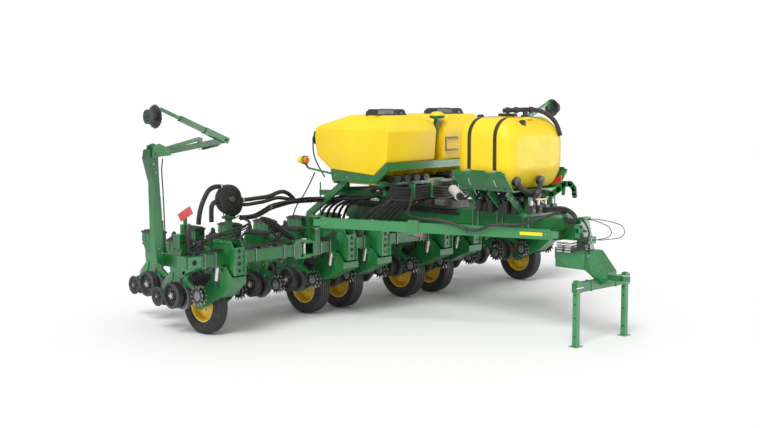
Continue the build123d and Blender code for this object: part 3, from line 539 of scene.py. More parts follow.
def row_frame(piece, x, face):
    """The painted frame of one row unit, with its clamp, arms, shank and closing frame."""
    green, bolt = "bracket_green", "zinc_bolt"

    def at(points):
        return [(face + y, z) for y, z in points]

    piece.block((x - 0.11, x + 0.11), (face + 0.1785, face + 0.198), (1.101, 1.339), green)
    for side in (-1, 1):
        bolt_x = x + side * 0.1
        piece.rod((bolt_x, face - 0.010, 1.115), (bolt_x, face - 0.010, 1.325), 0.0085, bolt, 10)
        for level in (BAR_TOP + 0.010, BAR_BOTTOM - 0.010):
            piece.rod((bolt_x, face - 0.010, level), (bolt_x, face + 0.235, level), 0.0085, bolt, 10)
            piece.bolt((bolt_x, face + 0.198, level), (0, 1, 0), 0.016)
        ear = [(0.198, 1.110), (0.198, 1.335), (0.262, 1.335), (0.292, 1.290), (0.292, 1.105), (0.262, 1.085)]
        piece.plate(at(ear), (x + side * 0.070, x + side * 0.079), "X", green)
        for high, low in ((1.290, 1.130), (1.130, 0.970)):
            start, end = (x + side * 0.055, face + 0.235, high - 0.016), (x + side * 0.055, face + 0.615, low)
            piece.beam(start, end, 0.014, 0.048, green)
            piece.rod(between(start, end, -0.02), between(start, end, 0.05), 0.030, green, 14)
            piece.bolt((x + side * 0.080, face + 0.235, high - 0.016), (side, 0, 0), 0.014)
            piece.bolt((x + side * 0.064, face + 0.615, low), (side, 0, 0), 0.014)
        closing = [(0.900, 0.965), (0.985, 0.930), (1.300, 0.565), (1.290, 0.520), (1.245, 0.520), (0.900, 0.860)]
        piece.plate(at(closing), (x + side * 0.020, x + side * 0.030), "X", green)
        hanger = [(0.545, 1.190), (0.600, 1.190), (0.655, 1.050), (0.655, 0.930), (0.560, 0.930), (0.530, 1.060)]
        piece.plate(at(hanger), (x + side * 0.052, x + side * 0.062), "X", green)
        cleaner = [(0.640, 0.880), (0.560, 0.890), (0.330, 0.760), (0.262, 0.690), (0.262, 0.640),
                   (0.320, 0.640), (0.400, 0.730), (0.640, 0.820)]
        piece.plate(at(cleaner), (x + side * 0.014, x + side * 0.022), "X", green)
        arm = [(0.700, 0.880), (0.760, 0.880), (0.820, 0.640), (0.800, 0.595), (0.765, 0.605), (0.690, 0.800)]
        piece.plate(at(arm), (x + side * 0.034, x + side * 0.044), "X", "disc_steel")
        piece.beam((x + side * 0.055, face + 0.655, 1.175), (x + side * 0.080, face + 0.600, 1.480), 0.012, 0.060,
                   green, 0.012, 0.030)
    shank = [(0.540, 1.180), (1.000, 1.180), (1.000, 1.040), (0.960, 0.900), (0.880, 0.640), (0.760, 0.560),
             (0.640, 0.640), (0.560, 0.860), (0.540, 0.940)]
    piece.plate(at(shank), (x - 0.018, x + 0.018), "X", green)
    for y, z in ((0.60, 1.14), (0.78, 1.14), (0.95, 1.12), (0.93, 0.95), (0.66, 0.90), (0.84, 0.80)):
        piece.bolt((x - 0.018, face + y, z), (-1, 0, 0), 0.013)
        piece.bolt((x + 0.018, face + y, z), (1, 0, 0), 0.013)
    piece.block((x - 0.060, x + 0.060), (face + 0.565, face + 0.625), (0.945, 1.180), green)
    piece.rod((x - 0.185, face + GAUGE_AT[0], GAUGE_AT[1]), (x + 0.185, face + GAUGE_AT[0], GAUGE_AT[1]),
              AXLE_RADIUS - 0.0005, "bare_steel")
    piece.rod((x - 0.09, face + CLOSING_AT[0], CLOSING_AT[1]), (x + 0.09, face + CLOSING_AT[0], CLOSING_AT[1]),
              AXLE_RADIUS - 0.0005, "bare_steel")
    piece.rod((x - 0.062, face + CLEANER_AT[0], CLEANER_AT[1]), (x + 0.062, face + CLEANER_AT[0], CLEANER_AT[1]),
              AXLE_RADIUS - 0.0005, "bare_steel")
    piece.rod((x, face + 0.250, 1.270), (x, face + 0.420, 1.130), 0.030, "black_plastic", 16)
    piece.rod((x, face + 0.410, 1.138), (x, face + 0.570, 1.010), 0.013, "bare_steel", 12)
    piece.beam((x, face + 0.930, 1.000), (x, face + 1.060, 1.240), 0.014, 0.034, green, 0.010, 0.020)
    piece.rod((x - 0.024, face + 1.060, 1.240), (x + 0.024, face + 1.060, 1.240), 0.014, "black_plastic")
    for turn in range(9):
        y, z = 0.990 + 0.022 * turn, 0.935 - 0.021 * turn
        piece.lathe((x, face + y, z), [(-0.004, 0.020), (0.0, 0.026), (0.004, 0.020), (0.0, 0.017)],
                    "bare_steel", 12, "Y")


def row_box(piece, x, face):
    """The seed box of one row unit with its lid, meter housing and hoses."""
    box = [(0.650, 1.182), (0.890, 1.182), (0.975, 1.320), (0.960, 1.440), (0.575, 1.440), (0.575, 1.300)]
    low = [(x - 0.096, face + y, z) for y, z in box]
    piece.prism(low, [(x + 0.096, y, z) for _, y, z in low], "frame_green")
    for y in (0.64, 0.76, 0.88):
        piece.block((x - 0.102, x + 0.102), (face + y - 0.008, face + y + 0.008), (1.300, 1.432), "frame_green")
    piece.block((x - 0.112, x + 0.112), (face + 0.566, face + 0.972), (1.436, 1.466), "black_plastic")
    piece.block((x - 0.086, x + 0.086), (face + 0.600, face + 0.940), (1.464, 1.480), "black_plastic")
    for offset in (-0.06, 0.0, 0.06):
        piece.block((x + offset - 0.008, x + offset + 0.008), (face + 0.61, face + 0.93), (1.478, 1.488),
                    "black_plastic")
    piece.block((x - 0.030, x + 0.030), (face + 0.553, face + 0.568), (1.380, 1.455), "black_plastic")
    profile = [(0.034, 0.012), (0.034, 0.118), (0.044, 0.128), (0.074, 0.128), (0.090, 0.104), (0.098, 0.050),
               (0.104, 0.045), (0.104, 0.012)]
    piece.lathe((x, face + 0.800, 1.052), profile, "black_plastic", 28)
    for spoke in range(8):
        angle = math.tau * spoke / 8
        reach = [Vector((x + 0.092, face + 0.800 + r * math.cos(angle), 1.052 + r * math.sin(angle)))
                 for r in (0.045, 0.112)]
        piece.beam(reach[0], reach[1], 0.010, 0.010, "black_plastic")
    hose = [(x + 0.080, face + 0.745, 1.120), (x + 0.092, face + 0.660, 1.215), (x + 0.132, face + 0.560, 1.290),
            (x + 0.120, face + 0.450, 1.370), (x + 0.050, face + 0.330, 1.400), (x, face + 0.230, 1.385)]
    piece.tube(hose, 0.019, 8, 4)
    lead = [(x - 0.045, face + 0.610, 1.180), (x - 0.125, face + 0.520, 1.250), (x - 0.110, face + 0.380, 1.345),
            (x - 0.060, face + 0.210, 1.345), (x - 0.110, face + 0.090, 1.345)]
    piece.tube(lead, 0.008, 6, 4)
    supply = [(x + 0.060, face + 0.560, 1.060), (x + 0.100, face + 0.480, 1.180), (x + 0.105, face + 0.380, 1.330),
              (x + 0.070, face + 0.300, 1.440), (x + 0.010, face + 0.250, 1.480), (x - 0.060, face + 0.180, 1.420)]
    piece.tube(supply, 0.026, 8, 4)
    piece.block((x - 0.050, x + 0.050), (face + 0.205, face + 0.275), (1.345, 1.425), "black_plastic")


def row_tools(piece, x, face):
    """The discs and wheels that don't turn apart: openers, row cleaners and closing wheels."""
    y, z = face + OPENER_AT[0], OPENER_AT[1]
    for side in (-1, 1):
        rim = [(side * 0.0225, 0.012), (side * 0.0225, 0.186), (side * 0.0240, 0.190), (side * 0.0270, 0.184),
               (side * 0.0270, 0.050), (side * 0.0330, 0.044), (side * 0.0330, 0.012)]
        piece.lathe((x, y, z), rim, "disc_steel", 40)
        y_cleaner, z_cleaner = face + CLEANER_AT[0], CLEANER_AT[1]
        centre = (x, y_cleaner, z_cleaner)
        piece.toothed(centre, (side * 0.030, side * 0.037), 0.108, 0.149, 12, "disc_steel")
        piece.lathe(centre, [(side * 0.026, 0.013), (side * 0.026, 0.060), (side * 0.038, 0.070),
                             (side * 0.045, 0.055), (side * 0.045, 0.013)], "disc_steel", 20)
        piece.bolt_ring((x + side * 0.043, y_cleaner, z_cleaner), side, 0.045, 5, 0.008)
        profile = [(0.045, 0.013), (0.045, 0.060), (0.050, 0.118), (0.046, 0.142), (0.052, 0.151), (0.065, 0.151),
                   (0.071, 0.142), (0.067, 0.118), (0.056, 0.108), (0.056, 0.050), (0.072, 0.044), (0.072, 0.013)]
        piece.lathe((x, face + CLOSING_AT[0], CLOSING_AT[1]), [(side * a, r) for a, r in profile], "gauge_rubber", 32)
        piece.bolt((x + side * 0.073, face + CLOSING_AT[0], CLOSING_AT[1]), (side, 0, 0), 0.017)
        # Painted shade: thin dark discs stand for the holes in the closing wheel.
        for hole in range(6):
            angle = math.tau * hole / 6
            spot = Vector((x + side * 0.0555, face + CLOSING_AT[0] + 0.078 * math.cos(angle),
                           CLOSING_AT[1] + 0.078 * math.sin(angle)))
            piece.rod(spot, spot + Vector((side * 0.002, 0, 0)), 0.018, "dark_hollow", 14)


def gauge_pair(piece, x, face):
    """The two gauge wheels of one row: a rubber tyre on a dished half rim, with a hub cap."""
    centre = (x, face + GAUGE_AT[0], GAUGE_AT[1])
    tyre = [(0.050, 0.150), (0.050, 0.190), (0.062, 0.202), (0.090, 0.198), (0.118, 0.202), (0.150, 0.201),
            (0.164, 0.186), (0.160, 0.160), (0.120, 0.148)]
    dish = [(0.056, 0.0125), (0.056, 0.150), (0.124, 0.150), (0.150, 0.156), (0.154, 0.150), (0.122, 0.138),
            (0.112, 0.075), (0.128, 0.062), (0.145, 0.058), (0.145, 0.0125)]
    for side in (-1, 1):
        piece.lathe(centre, [(side * a, r) for a, r in tyre], "gauge_rubber", 44)
        piece.lathe(centre, [(side * a, r) for a, r in dish], "black_plastic", 44)
        cap = [(0.143, 0.0125), (0.143, 0.034), (0.158, 0.030), (0.163, 0.018), (0.163, 0.0125)]
        piece.lathe(centre, [(side * a, r) for a, r in cap], "bare_steel", 20)
        piece.bolt_ring((x + side * 0.144, centre[1], centre[2]), side, 0.048, 5, 0.006, "bare_steel")


front_rows = [ROW_SPACING * (n + 0.5) for n in range(6)]
rear_rows = [ROW_SPACING * n for n in range(6)]
rank_rows = {("centre", "front"): [side * x for x in front_rows[:3] for side in (-1, 1)],
             ("centre", "rear"): [0.0] + [side * x for x in rear_rows[1:4] for side in (-1, 1)]}
for side, hand in SIDES:
    rank_rows[(hand, "front")] = [side * x for x in front_rows[3:]]
    rank_rows[(hand, "rear")] = [side * x for x in rear_rows[4:]]

for section, body, prefix in (("centre", "centre_frame", "centre"), ("right", "right_wing", "right_wing"),
                              ("left", "left_wing", "left_wing")):
    frames, boxes, tools = (Piece(f"{prefix}_row_{kind}") for kind in ("frames", "seed_boxes", "ground_tools"))
    for rank, face in (("front", 0.0), ("rear", RANK_GAP)):
        wheels = Piece(f"{prefix}_gauge_wheel_set_{rank}")
        for x in rank_rows[(section, rank)]:
            row_frame(frames, x, face)
            row_box(boxes, x, face)
            row_tools(tools, x, face)
            gauge_pair(wheels, x, face)
        turning = f"centre_{rank}_gauge" if section == "centre" else f"{prefix}_{rank}_gauge"
        wheels.done(turning, "gauge_rubber", (f"{prefix}_gauge_wheels_{rank}",), bevel=0)
    frames.done(body, "bracket_green", (f"{prefix}_row_units",), bevel=0.0025)
    boxes.done(body, "bracket_green", bevel=0.006)
    tools.done(body, "disc_steel", (f"{prefix}_row_discs",), bevel=0)

# Transport wheels ------------------------------------------------------------

AXLE_SIZE = 0.0302


def ribbed_tyre(piece, x, y, radius, half, rim_radius):
    """A ribbed implement tyre: five flat ribs between rounded shoulders."""
    middle = rim_radius + (radius - rim_radius) * 0.55
    side = [(0.72, rim_radius), (0.80, rim_radius + 0.010), (0.90, rim_radius + 0.022), (0.95, rim_radius + 0.045),
            (0.975, middle - 0.030), (0.985, middle - 0.024), (1.0, middle), (0.97, middle + 0.035),
            (0.955, middle + 0.037), (0.90, radius - 0.030), (0.82, radius - 0.012)]
    tread = []
    for low, high in ((0.80, 0.56), (0.48, 0.20), (0.12, -0.12), (-0.20, -0.48), (-0.56, -0.80)):
        tread += [(low - 0.01, radius - 0.003 - 0.008 * abs(low)), (high + 0.01, radius - 0.003 - 0.008 * abs(high))]
        if high > -0.8:
            tread += [(high - 0.015, radius - 0.022), (high - 0.065, radius - 0.022)]
    profile = side + tread + [(-share, size) for share, size in reversed(side)]
    piece.lathe((x, y, radius), [(share * half, size) for share, size in profile], "tyre_black", 72)


def dished_rim(piece, x, y, axle_z, half, rim_radius, outward):
    """A pressed rim with a deep dish, a wheel disc with nuts and a hub."""
    edge = half * 0.72
    band = [(-edge + 0.004, rim_radius - 0.020), (-edge * 0.4, rim_radius - 0.045), (edge * 0.4, rim_radius - 0.045),
            (edge - 0.004, rim_radius - 0.020), (edge, rim_radius), (-edge, rim_radius)]
    piece.lathe((x, y, axle_z), band, "rim_yellow", 56)
    dish = [(0.10, rim_radius - 0.040), (0.02, rim_radius - 0.060), (-0.28, 0.150), (-0.36, 0.120), (-0.36, AXLE_SIZE),
            (-0.24, AXLE_SIZE), (-0.24, 0.115), (-0.14, 0.150), (0.16, rim_radius - 0.060), (0.24, rim_radius - 0.040)]
    piece.lathe((x, y, axle_z), [(-outward * edge * share, size) for share, size in dish], "rim_yellow", 56)
    hub = [(-0.30, AXLE_SIZE), (-0.30, 0.072), (0.50, 0.062), (0.62, 0.048), (0.62, AXLE_SIZE)]
    for way in (-1, 1):
        piece.lathe((x, y, axle_z), [(way * edge * share, size) for share, size in hub], "frame_green", 28)
        nut_x = x + outward * edge * (0.24 if way * outward < 0 else 0.36)
        piece.bolt_ring((nut_x, y, axle_z), outward, 0.095, 6, 0.013)


wheel_sets = []
for side, hand in SIDES:
    wheel_sets.append((f"{hand}_centre", f"{hand}_centre_wheels", (side * ROW_SPACING, side * 2 * ROW_SPACING),
                       0.874, 0.465, 0.127, 0.290, f"{hand}_centre_tyres", f"{hand}_centre_rims"))
    wheel_sets.append((f"{hand}_wing", f"{hand}_wing_wheel", (side * 5 * ROW_SPACING,),
                       0.640, 0.460, 0.100, 0.280, f"{hand}_wing_tyre", f"{hand}_wing_rim"))
for prefix, body, places, axle_y, radius, half, rim_radius, tyre_node, rim_node in wheel_sets:
    tyres, rims = Piece(f"{prefix}_ribbed_tyres"), Piece(f"{prefix}_dished_rims")
    for x in places:
        ribbed_tyre(tyres, x, axle_y, radius, half, rim_radius)
        dished_rim(rims, x, axle_y, radius, half, rim_radius, -1)
    tyres.done(body, "tyre_black", (tyre_node,), bevel=0, sharp=25)
    rims.done(body, "rim_yellow", (rim_node,), bevel=0)

# Seed tanks ------------------------------------------------------------------

TANK_IN, TANK_OUT = 0.100, 1.250
LID_AT = (0.700, -0.160)
LID_HALF = 0.335


def hull_piece(name, points, finish_name, rounding):
    """A rounded solid round some points."""
    mesh = bpy.data.meshes.new(name)
    shape = bmesh.new()
    for point in points:
        shape.verts.new(Vector(point) + FACE)
    hull = bmesh.ops.convex_hull(shape, input=shape.verts)
    bmesh.ops.delete(shape, geom=[v for v in hull["geom_interior"] if isinstance(v, bmesh.types.BMVert)],
                     context="VERTS")
    bmesh.ops.dissolve_limit(shape, angle_limit=math.radians(1.0), verts=shape.verts, edges=shape.edges)
    bmesh.ops.recalc_face_normals(shape, faces=shape.faces)
    steep = [e for e in shape.edges if len(e.link_faces) == 2 and e.calc_face_angle() > math.radians(12)]
    bmesh.ops.bevel(shape, geom=steep, offset=rounding, segments=5, profile=0.5, affect="EDGES", clamp_overlap=True)
    shape.to_mesh(mesh)
    shape.free()
    mesh.materials.append(FINISHES[finish_name])
    mesh.shade_smooth()
    mesh.set_sharp_from_angle(angle=math.radians(40))
    return linked(name, mesh)


for side, hand in SIDES:
    points = []
    for y, z in ((0.990, 2.960), (0.930, 2.620), (0.600, 2.400), (-0.420, 2.340), (-0.700, 2.560), (-0.740, 3.050),
                 (-0.722, 3.080), (-0.662, 3.180), (0.950, 3.080)):
        points.append((side * TANK_OUT if z <= 3.08 else side * (TANK_OUT - 0.26 * (z - 3.08) / 0.22), y, z))
    for y, z in ((0.990, 2.960), (0.930, 2.620), (0.600, 2.400), (-0.420, 2.340), (-0.700, 2.560), (-0.740, 3.050),
                 (-0.662, 3.180), (0.7226, 3.180)):
        points.append((side * TANK_IN, y, z))
    for y, z in ((-0.590, 3.300), (0.350, 3.300)):
        points += [(side * (TANK_OUT - 0.26), y, z), (side * (TANK_IN + 0.26), y, z)]
    points.append((side * (TANK_OUT - 0.26 * 0.03 / 0.22), 0.940, 3.110))
    shell = hull_piece(f"{hand}_seed_tank_shell", points, "tank_yellow", 0.045)
    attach(shell, "centre_frame")
    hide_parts(f"{hand}_seed_tank")

    collar = Piece(f"{hand}_seed_tank_collar")
    centre = (side * LID_AT[0], LID_AT[1], 0)
    collar.lathe(centre, [(3.270, 0.242), (3.270, 0.330), (3.296, 0.322), (3.3030, 0.312), (3.3030, 0.242)],
                 "tank_yellow", 48, "Z")
    hinge_y = LID_AT[1] + LID_HALF + 0.040
    for way in (-1, 1):
        x = side * LID_AT[0] + way * 0.070
        collar.block((x - 0.009, x + 0.009), (hinge_y - 0.020, hinge_y + 0.020), (3.295, 3.356), "black_plastic")
    collar.rod((side * LID_AT[0] - 0.088, hinge_y, 3.340), (side * LID_AT[0] + 0.088, hinge_y, 3.340), 0.008,
               "bare_steel")
    collar.done("centre_frame", "tank_yellow", bevel=0.003)

    lid = Piece(f"{hand}_seed_tank_cover")
    corners = [(math.cos(math.tau * (n + 0.5) / 8), math.sin(math.tau * (n + 0.5) / 8)) for n in range(8)]
    across_corners = LID_HALF / math.cos(math.pi / 8)

    def eight(size):
        return [(centre[0] + size * c, centre[1] + size * s) for c, s in corners]

    def ring(size, z):
        return [(a, b, z) for a, b in eight(size)]

    lid.prism(ring(across_corners, 3.305), ring(across_corners * 0.995, 3.318), "black_plastic")
    lid.prism(ring(across_corners * 0.975, 3.316), ring(across_corners * 0.885, 3.386), "black_plastic")
    for c, s in corners:
        inner, outer = ((centre[0] + reach * c, centre[1] + reach * s, 3.385) for reach in (0.10, 0.29))
        lid.beam(inner, outer, 0.026, 0.016, "black_plastic")
    lid.lathe(centre, [(3.380, 0.02), (3.380, 0.115), (3.398, 0.105), (3.398, 0.02)], "black_plastic", 32, "Z")
    lid.block((centre[0] - 0.050, centre[0] + 0.050), (centre[1] + 0.260, hinge_y), (3.320, 3.346), "black_plastic")
    lid.rod((centre[0] - 0.050, hinge_y, 3.340), (centre[0] + 0.050, hinge_y, 3.340), 0.019, "black_plastic", 16)
    lid.block((centre[0] - 0.035, centre[0] + 0.035), (centre[1] - 0.345, centre[1] - 0.315), (3.310, 3.350),
              "black_plastic")
    lid.done(f"{hand}_lid", "black_plastic", (f"{hand}_tank_lid",), bevel=0.005)

# Liquid tank -----------------------------------------------------------------

LIQUID_FRONT, LIQUID_REAR = -2.765, -1.655
LIQUID_MIDDLE, LIQUID_HALF_HEIGHT, LIQUID_HALF = 2.745, 0.545, 0.690
STRAPS = (-1.960, -2.470)


def rounded_ring(half_width, half_height, corner, y, steps=8):
    """A rectangle with round corners, square to Y."""
    ring = []
    for quarter, (a, b) in enumerate(((1, 1), (-1, 1), (-1, -1), (1, -1))):
        for step in range(steps + 1):
            angle = math.pi / 2 * (quarter + step / steps)
            ring.append((a * (half_width - corner) + corner * math.cos(angle), y,
                         LIQUID_MIDDLE + b * (half_height - corner) + corner * math.sin(angle)))
    return ring


def skinned(piece, rings, finish_name, closed_ends=True):
    """Faces between rings of equal length, one after another."""
    count = len(rings[0])
    points = [point for ring in rings for point in ring]
    faces = []
    for at in range(len(rings) - 1):
        for corner in range(count):
            after = (corner + 1) % count
            faces.append((at * count + corner, at * count + after, (at + 1) * count + after, (at + 1) * count + corner))
    if closed_ends:
        faces.append(tuple(reversed(range(count))))
        faces.append(tuple((len(rings) - 1) * count + corner for corner in range(count)))
    piece.add(points, faces, finish_name)


def sloped(ring):
    """A ring of the tank drawn in above and below towards the front."""
    forward = -ring[0][1]
    top_drop = 0.170 * max(0.0, forward - 2.515) / 0.250
    floor_rise = 0.210 * max(0.0, forward - 2.630) / 0.135
    above, below = 1 - top_drop / LIQUID_HALF_HEIGHT, 1 - floor_rise / LIQUID_HALF_HEIGHT
    return [(x, y, LIQUID_MIDDLE + (z - LIQUID_MIDDLE) * (above if z > LIQUID_MIDDLE else below)) for x, y, z in ring]


tank = Piece("liquid_tank_shell")
rings = []
END_ROUND = 0.200
for step in range(9):
    angle = math.pi / 2 * step / 8
    inset = END_ROUND * (1 - math.sin(angle))
    y = LIQUID_FRONT + END_ROUND * (1 - math.cos(angle))
    rings.append(rounded_ring(LIQUID_HALF - inset, LIQUID_HALF_HEIGHT - inset, 0.300 - inset * 0.6, y))
stations = [-2.515, -2.512, -2.428, -2.425, -2.225, -2.220, -2.212, -2.207, -2.005, -2.002, -1.918, -1.915]
grooves = [0, 0.008, 0.008, 0, 0, 0.006, 0.006, 0, 0, 0.008, 0.008, 0]
for y, sink in zip(stations, grooves):
    rings.append(rounded_ring(LIQUID_HALF - sink, LIQUID_HALF_HEIGHT - sink, 0.300, y))
for step in range(9):
    angle = math.pi / 2 * (1 - step / 8)
    inset = END_ROUND * (1 - math.sin(angle))
    y = LIQUID_REAR - END_ROUND * (1 - math.cos(angle))
    rings.append(rounded_ring(LIQUID_HALF - inset, LIQUID_HALF_HEIGHT - inset, 0.300 - inset * 0.6, y))
skinned(tank, [sloped(ring) for ring in rings], "tank_yellow")
tank.lathe((0, -2.150, 0), [(3.255, 0.128), (3.255, 0.160), (3.292, 0.152), (3.320, 0.144), (3.320, 0.128)],
           "tank_yellow", 40, "Z")
tank.lathe((0, -2.500, 0), [(3.262, 0.01), (3.262, 0.105), (3.286, 0.085), (3.296, 0.070), (3.296, 0.01)],
           "tank_yellow", 32, "Z")
tank.done("centre_frame", "tank_yellow", ("liquid_tank",), bevel=0)

cap = Piece("liquid_tank_cap")
cap.lathe((0, -2.150, 0), [(3.294, 0.1445), (3.294, 0.150), (3.335, 0.150), (3.343, 0.140), (3.343, 0.02),
                           (3.322, 0.02), (3.322, 0.1445)], "black_plastic", 40, "Z")
for grip in range(16):
    angle = math.tau * grip / 16
    c, s = math.cos(angle), math.sin(angle)
    cap.beam((0.142 * c, -2.150 + 0.142 * s, 3.300), (0.142 * c, -2.150 + 0.142 * s, 3.334), 0.014, 0.014,
             "black_plastic")
cap.done("liquid_lid", "black_plastic", ("liquid_tank_lid",), bevel=0.002)

straps = Piece("tank_strap_bands")
for y in STRAPS:
    outer, inner = ([rounded_ring(LIQUID_HALF + out, LIQUID_HALF_HEIGHT + out, 0.300 + out, y + offset)
                     for offset in (-0.03, 0.03)] for out in (0.006, 0.001))
    skinned(straps, [inner[0], outer[0], outer[1], inner[1], inner[0]], "black_plastic", closed_ends=False)
    for side in (-1, 1):
        straps.rod((side * 0.712, y, 2.470), (side * 0.700, y, 2.330), 0.010, "bare_steel")
        straps.rod((side * 0.700, y, 2.335), (side * 0.640, y, 2.250), 0.010, "bare_steel")
        straps.block((side * 0.700, side * 0.722), (y - 0.034, y + 0.034), (2.455, 2.500), "bare_steel")
straps.done("centre_frame", "black_plastic", ("tank_straps",), bevel=0.001)

fittings = Piece("liquid_tank_plumbing")
fittings.rod((0, -2.500, 3.290), (0, -2.500, 3.390), 0.042, "black_plastic", 18)
fittings.lathe((0, -2.500, 0), [(3.300, 0.02), (3.300, 0.070), (3.325, 0.070), (3.325, 0.02)], "black_plastic", 24, "Z")
fittings.tube([(-0.30, -2.300, 3.395), (-0.10, -2.440, 3.405), (0.00, -2.500, 3.408), (0.16, -2.590, 3.400),
               (0.34, -2.650, 3.340), (0.48, -2.720, 3.200), (0.54, -2.770, 3.000)], 0.036, 12, 5)
for x, y, z in ((-0.24, -2.343, 3.398), (-0.13, -2.421, 3.403), (0.08, -2.545, 3.405)):
    fittings.rod((x - 0.022, y + 0.014, z), (x + 0.022, y - 0.014, z), 0.050, "black_plastic", 18)
for x, y, low in ((-0.30, -1.850, 0.0), (0.26, -1.850, 0.0), (-0.22, -2.620, -0.075)):
    fittings.lathe((x, y, low), [(3.262, 0.01), (3.262, 0.060), (3.312, 0.055), (3.330, 0.034), (3.330, 0.01)],
                   "black_plastic", 20, "Z")
fittings.tube([(-0.46, -2.700, 2.330), (-0.42, -2.740, 2.250), (-0.28, -2.770, 2.170), (-0.10, -2.790, 2.120),
               (0.10, -2.800, 2.080)], 0.045, 12, 5)
fittings.tube([(0.05, -2.760, 2.320), (0.00, -2.800, 2.240), (-0.10, -2.830, 2.140), (-0.20, -2.880, 2.040),
               (-0.12, -2.990, 1.930)], 0.040, 12, 5)
for x, y, z in ((-0.46, -2.710, 2.330), (0.05, -2.770, 2.325), (-0.10, -2.830, 2.140)):
    fittings.lathe((x, y, z), sleeve(0.035, 0.01, 0.072), "black_plastic", 20, "Y")
for x in (-0.42, -0.25, -0.08, 0.10):
    fittings.block((x - 0.05, x + 0.05), (-3.02, -2.92), (1.850, 1.980), "black_plastic")
    fittings.rod((x, -2.97, 1.980), (x, -2.97, 2.050), 0.020, "bare_steel")
    fittings.bolt((x, -3.02, 1.915), (0, -1, 0), 0.022)
fittings.beam((-0.30, -2.97, 2.070), (-0.06, -2.97, 2.060), 0.022, 0.020, "rim_yellow")
fittings.block((-0.50, 0.30), (-2.93, -2.86), (1.802, 1.860), "bracket_green")
# Valve rows, pump and hoses between the saddle and the tongue beam.
for row, y in enumerate((-2.560, -2.420, -2.280, -2.120, -1.960, -1.880)):
    shift = 0.05 * (row % 2)
    fittings.block((-0.330 - shift, -0.160 - shift), (y - 0.048, y + 0.048), (1.810, 1.960 + shift), "black_plastic")
    fittings.block((0.160 + shift, 0.330 + shift), (y - 0.048, y + 0.048), (1.810, 1.960 + shift), "black_plastic")
    fittings.rod((-0.245 - shift, y, 1.960 + shift), (-0.245 - shift, y, 2.030 + shift), 0.026, "disc_steel", 14)
    fittings.tube([(-0.245 - shift, y, 2.020 + shift), (-0.330, y + 0.040, 2.090), (-0.300, y + 0.110, 2.130),
                   (-0.100, y + 0.150, 2.100)], 0.017, 8, 4)
for side in (-1, 1):
    for y in (-2.600, -2.240, -1.820):
        fittings.beam((side * 0.165, y, 1.815), (side * 0.540, y, 2.168), 0.018, 0.110, "bracket_green")
        fittings.bolt((side * 0.345, y - 0.009, 1.990), (0, -1, 0), 0.014)
    fittings.block((side * 0.150, side * 0.260), (-2.640, -1.780), (1.802, 1.822), "bracket_green")
    fittings.rod((side * 0.280, -2.680, 2.060), (side * 0.280, -1.800, 2.060), 0.042, "hose_black", 16)
fittings.rod((-0.02, -2.600, 2.000), (-0.02, -2.360, 2.000), 0.105, "disc_steel", 28)
fittings.rod((-0.02, -2.360, 2.000), (-0.02, -2.200, 2.000), 0.075, "frame_green", 28)
fittings.done("centre_frame", "black_plastic", bevel=0.003)

saddle_detail = Piece("tank_saddle_tabs")
for side in (-1, 1):
    for low, high in ((-2.735, -2.530), (-2.405, -2.025), (-1.895, -1.685)):
        foot = [(0.760, low, 2.400), (0.782, low, 2.400), (0.782, high, 2.400), (0.760, high, 2.400)]
        head = [(0.762, low + 0.06, 2.495), (0.776, low + 0.06, 2.495), (0.776, high - 0.06, 2.495),
                (0.762, high - 0.06, 2.495)]
        saddle_detail.prism(flip(side, foot), flip(side, head), "frame_green")
    for y in (-2.68, -2.58, -2.36, -2.22, -2.08, -1.84, -1.73):
        saddle_detail.bolt((side * 0.600, y, 2.205), (side, 0, -0.6), 0.015)
for y in (-2.72, -2.20, -1.70):
    saddle_detail.block((-0.30, 0.30), (y - 0.03, y + 0.03), (1.802, 1.840), "bracket_green")
    for x in (-0.165, 0.165):
        saddle_detail.rod((x, y, 1.470), (x, y, 1.850), 0.011, "zinc_bolt")
        saddle_detail.bolt((x, y, 1.842), (0, 0, 1), 0.018)
        saddle_detail.rod((x, y + 0.11, 1.470), (x, y + 0.11, 1.850), 0.011, "zinc_bolt")
saddle_detail.done("centre_frame", "frame_green", bevel=0.003)

# Frame, hitch and lifting gear ------------------------------------------------

LINK_REAR, LINK_FRONT = (2.200, -0.100, 1.645), (0.350, -3.400, 1.570)
links = Piece("draft_link_plates")
for side in (-1, 1):
    start = Vector((side * LINK_REAR[0], LINK_REAR[1], LINK_REAR[2]))
    end = Vector((side * LINK_FRONT[0], LINK_FRONT[1], LINK_FRONT[2]))
    along = (end - start).normalized()
    outward = Vector((side * -along.y, side * along.x, 0)).normalized()
    if outward.x * side < 0:
        outward = -outward
    at = start + (end - start) * 0.42
    links.beam(at - along * 0.085, at + along * 0.085, 0.120, 0.222, "bracket_green")
    for a in (-0.055, 0.055):
        for b in (-0.092, 0.092):
            links.bolt(at + along * a + Vector((0, 0, b)) + outward * 0.060, outward, 0.013)
    stripe = start + (end - start) * 0.90
    links.beam(stripe - along * 0.17 + outward * 0.0455, stripe + along * 0.17 + outward * 0.0455, 0.003, 0.050,
               "tank_yellow")
    for share in (0.035, 0.965):
        spot = start + (end - start) * share
        for a in (-0.03, 0.03):
            links.bolt(spot + along * a + outward * 0.031, outward, 0.015)
    links.rod(start - Vector((0, 0, 0.105)), start - Vector((0, 0, 0.098)), 0.040, "bare_steel", 18)
links.done("centre_frame", "bracket_green", bevel=0.003)

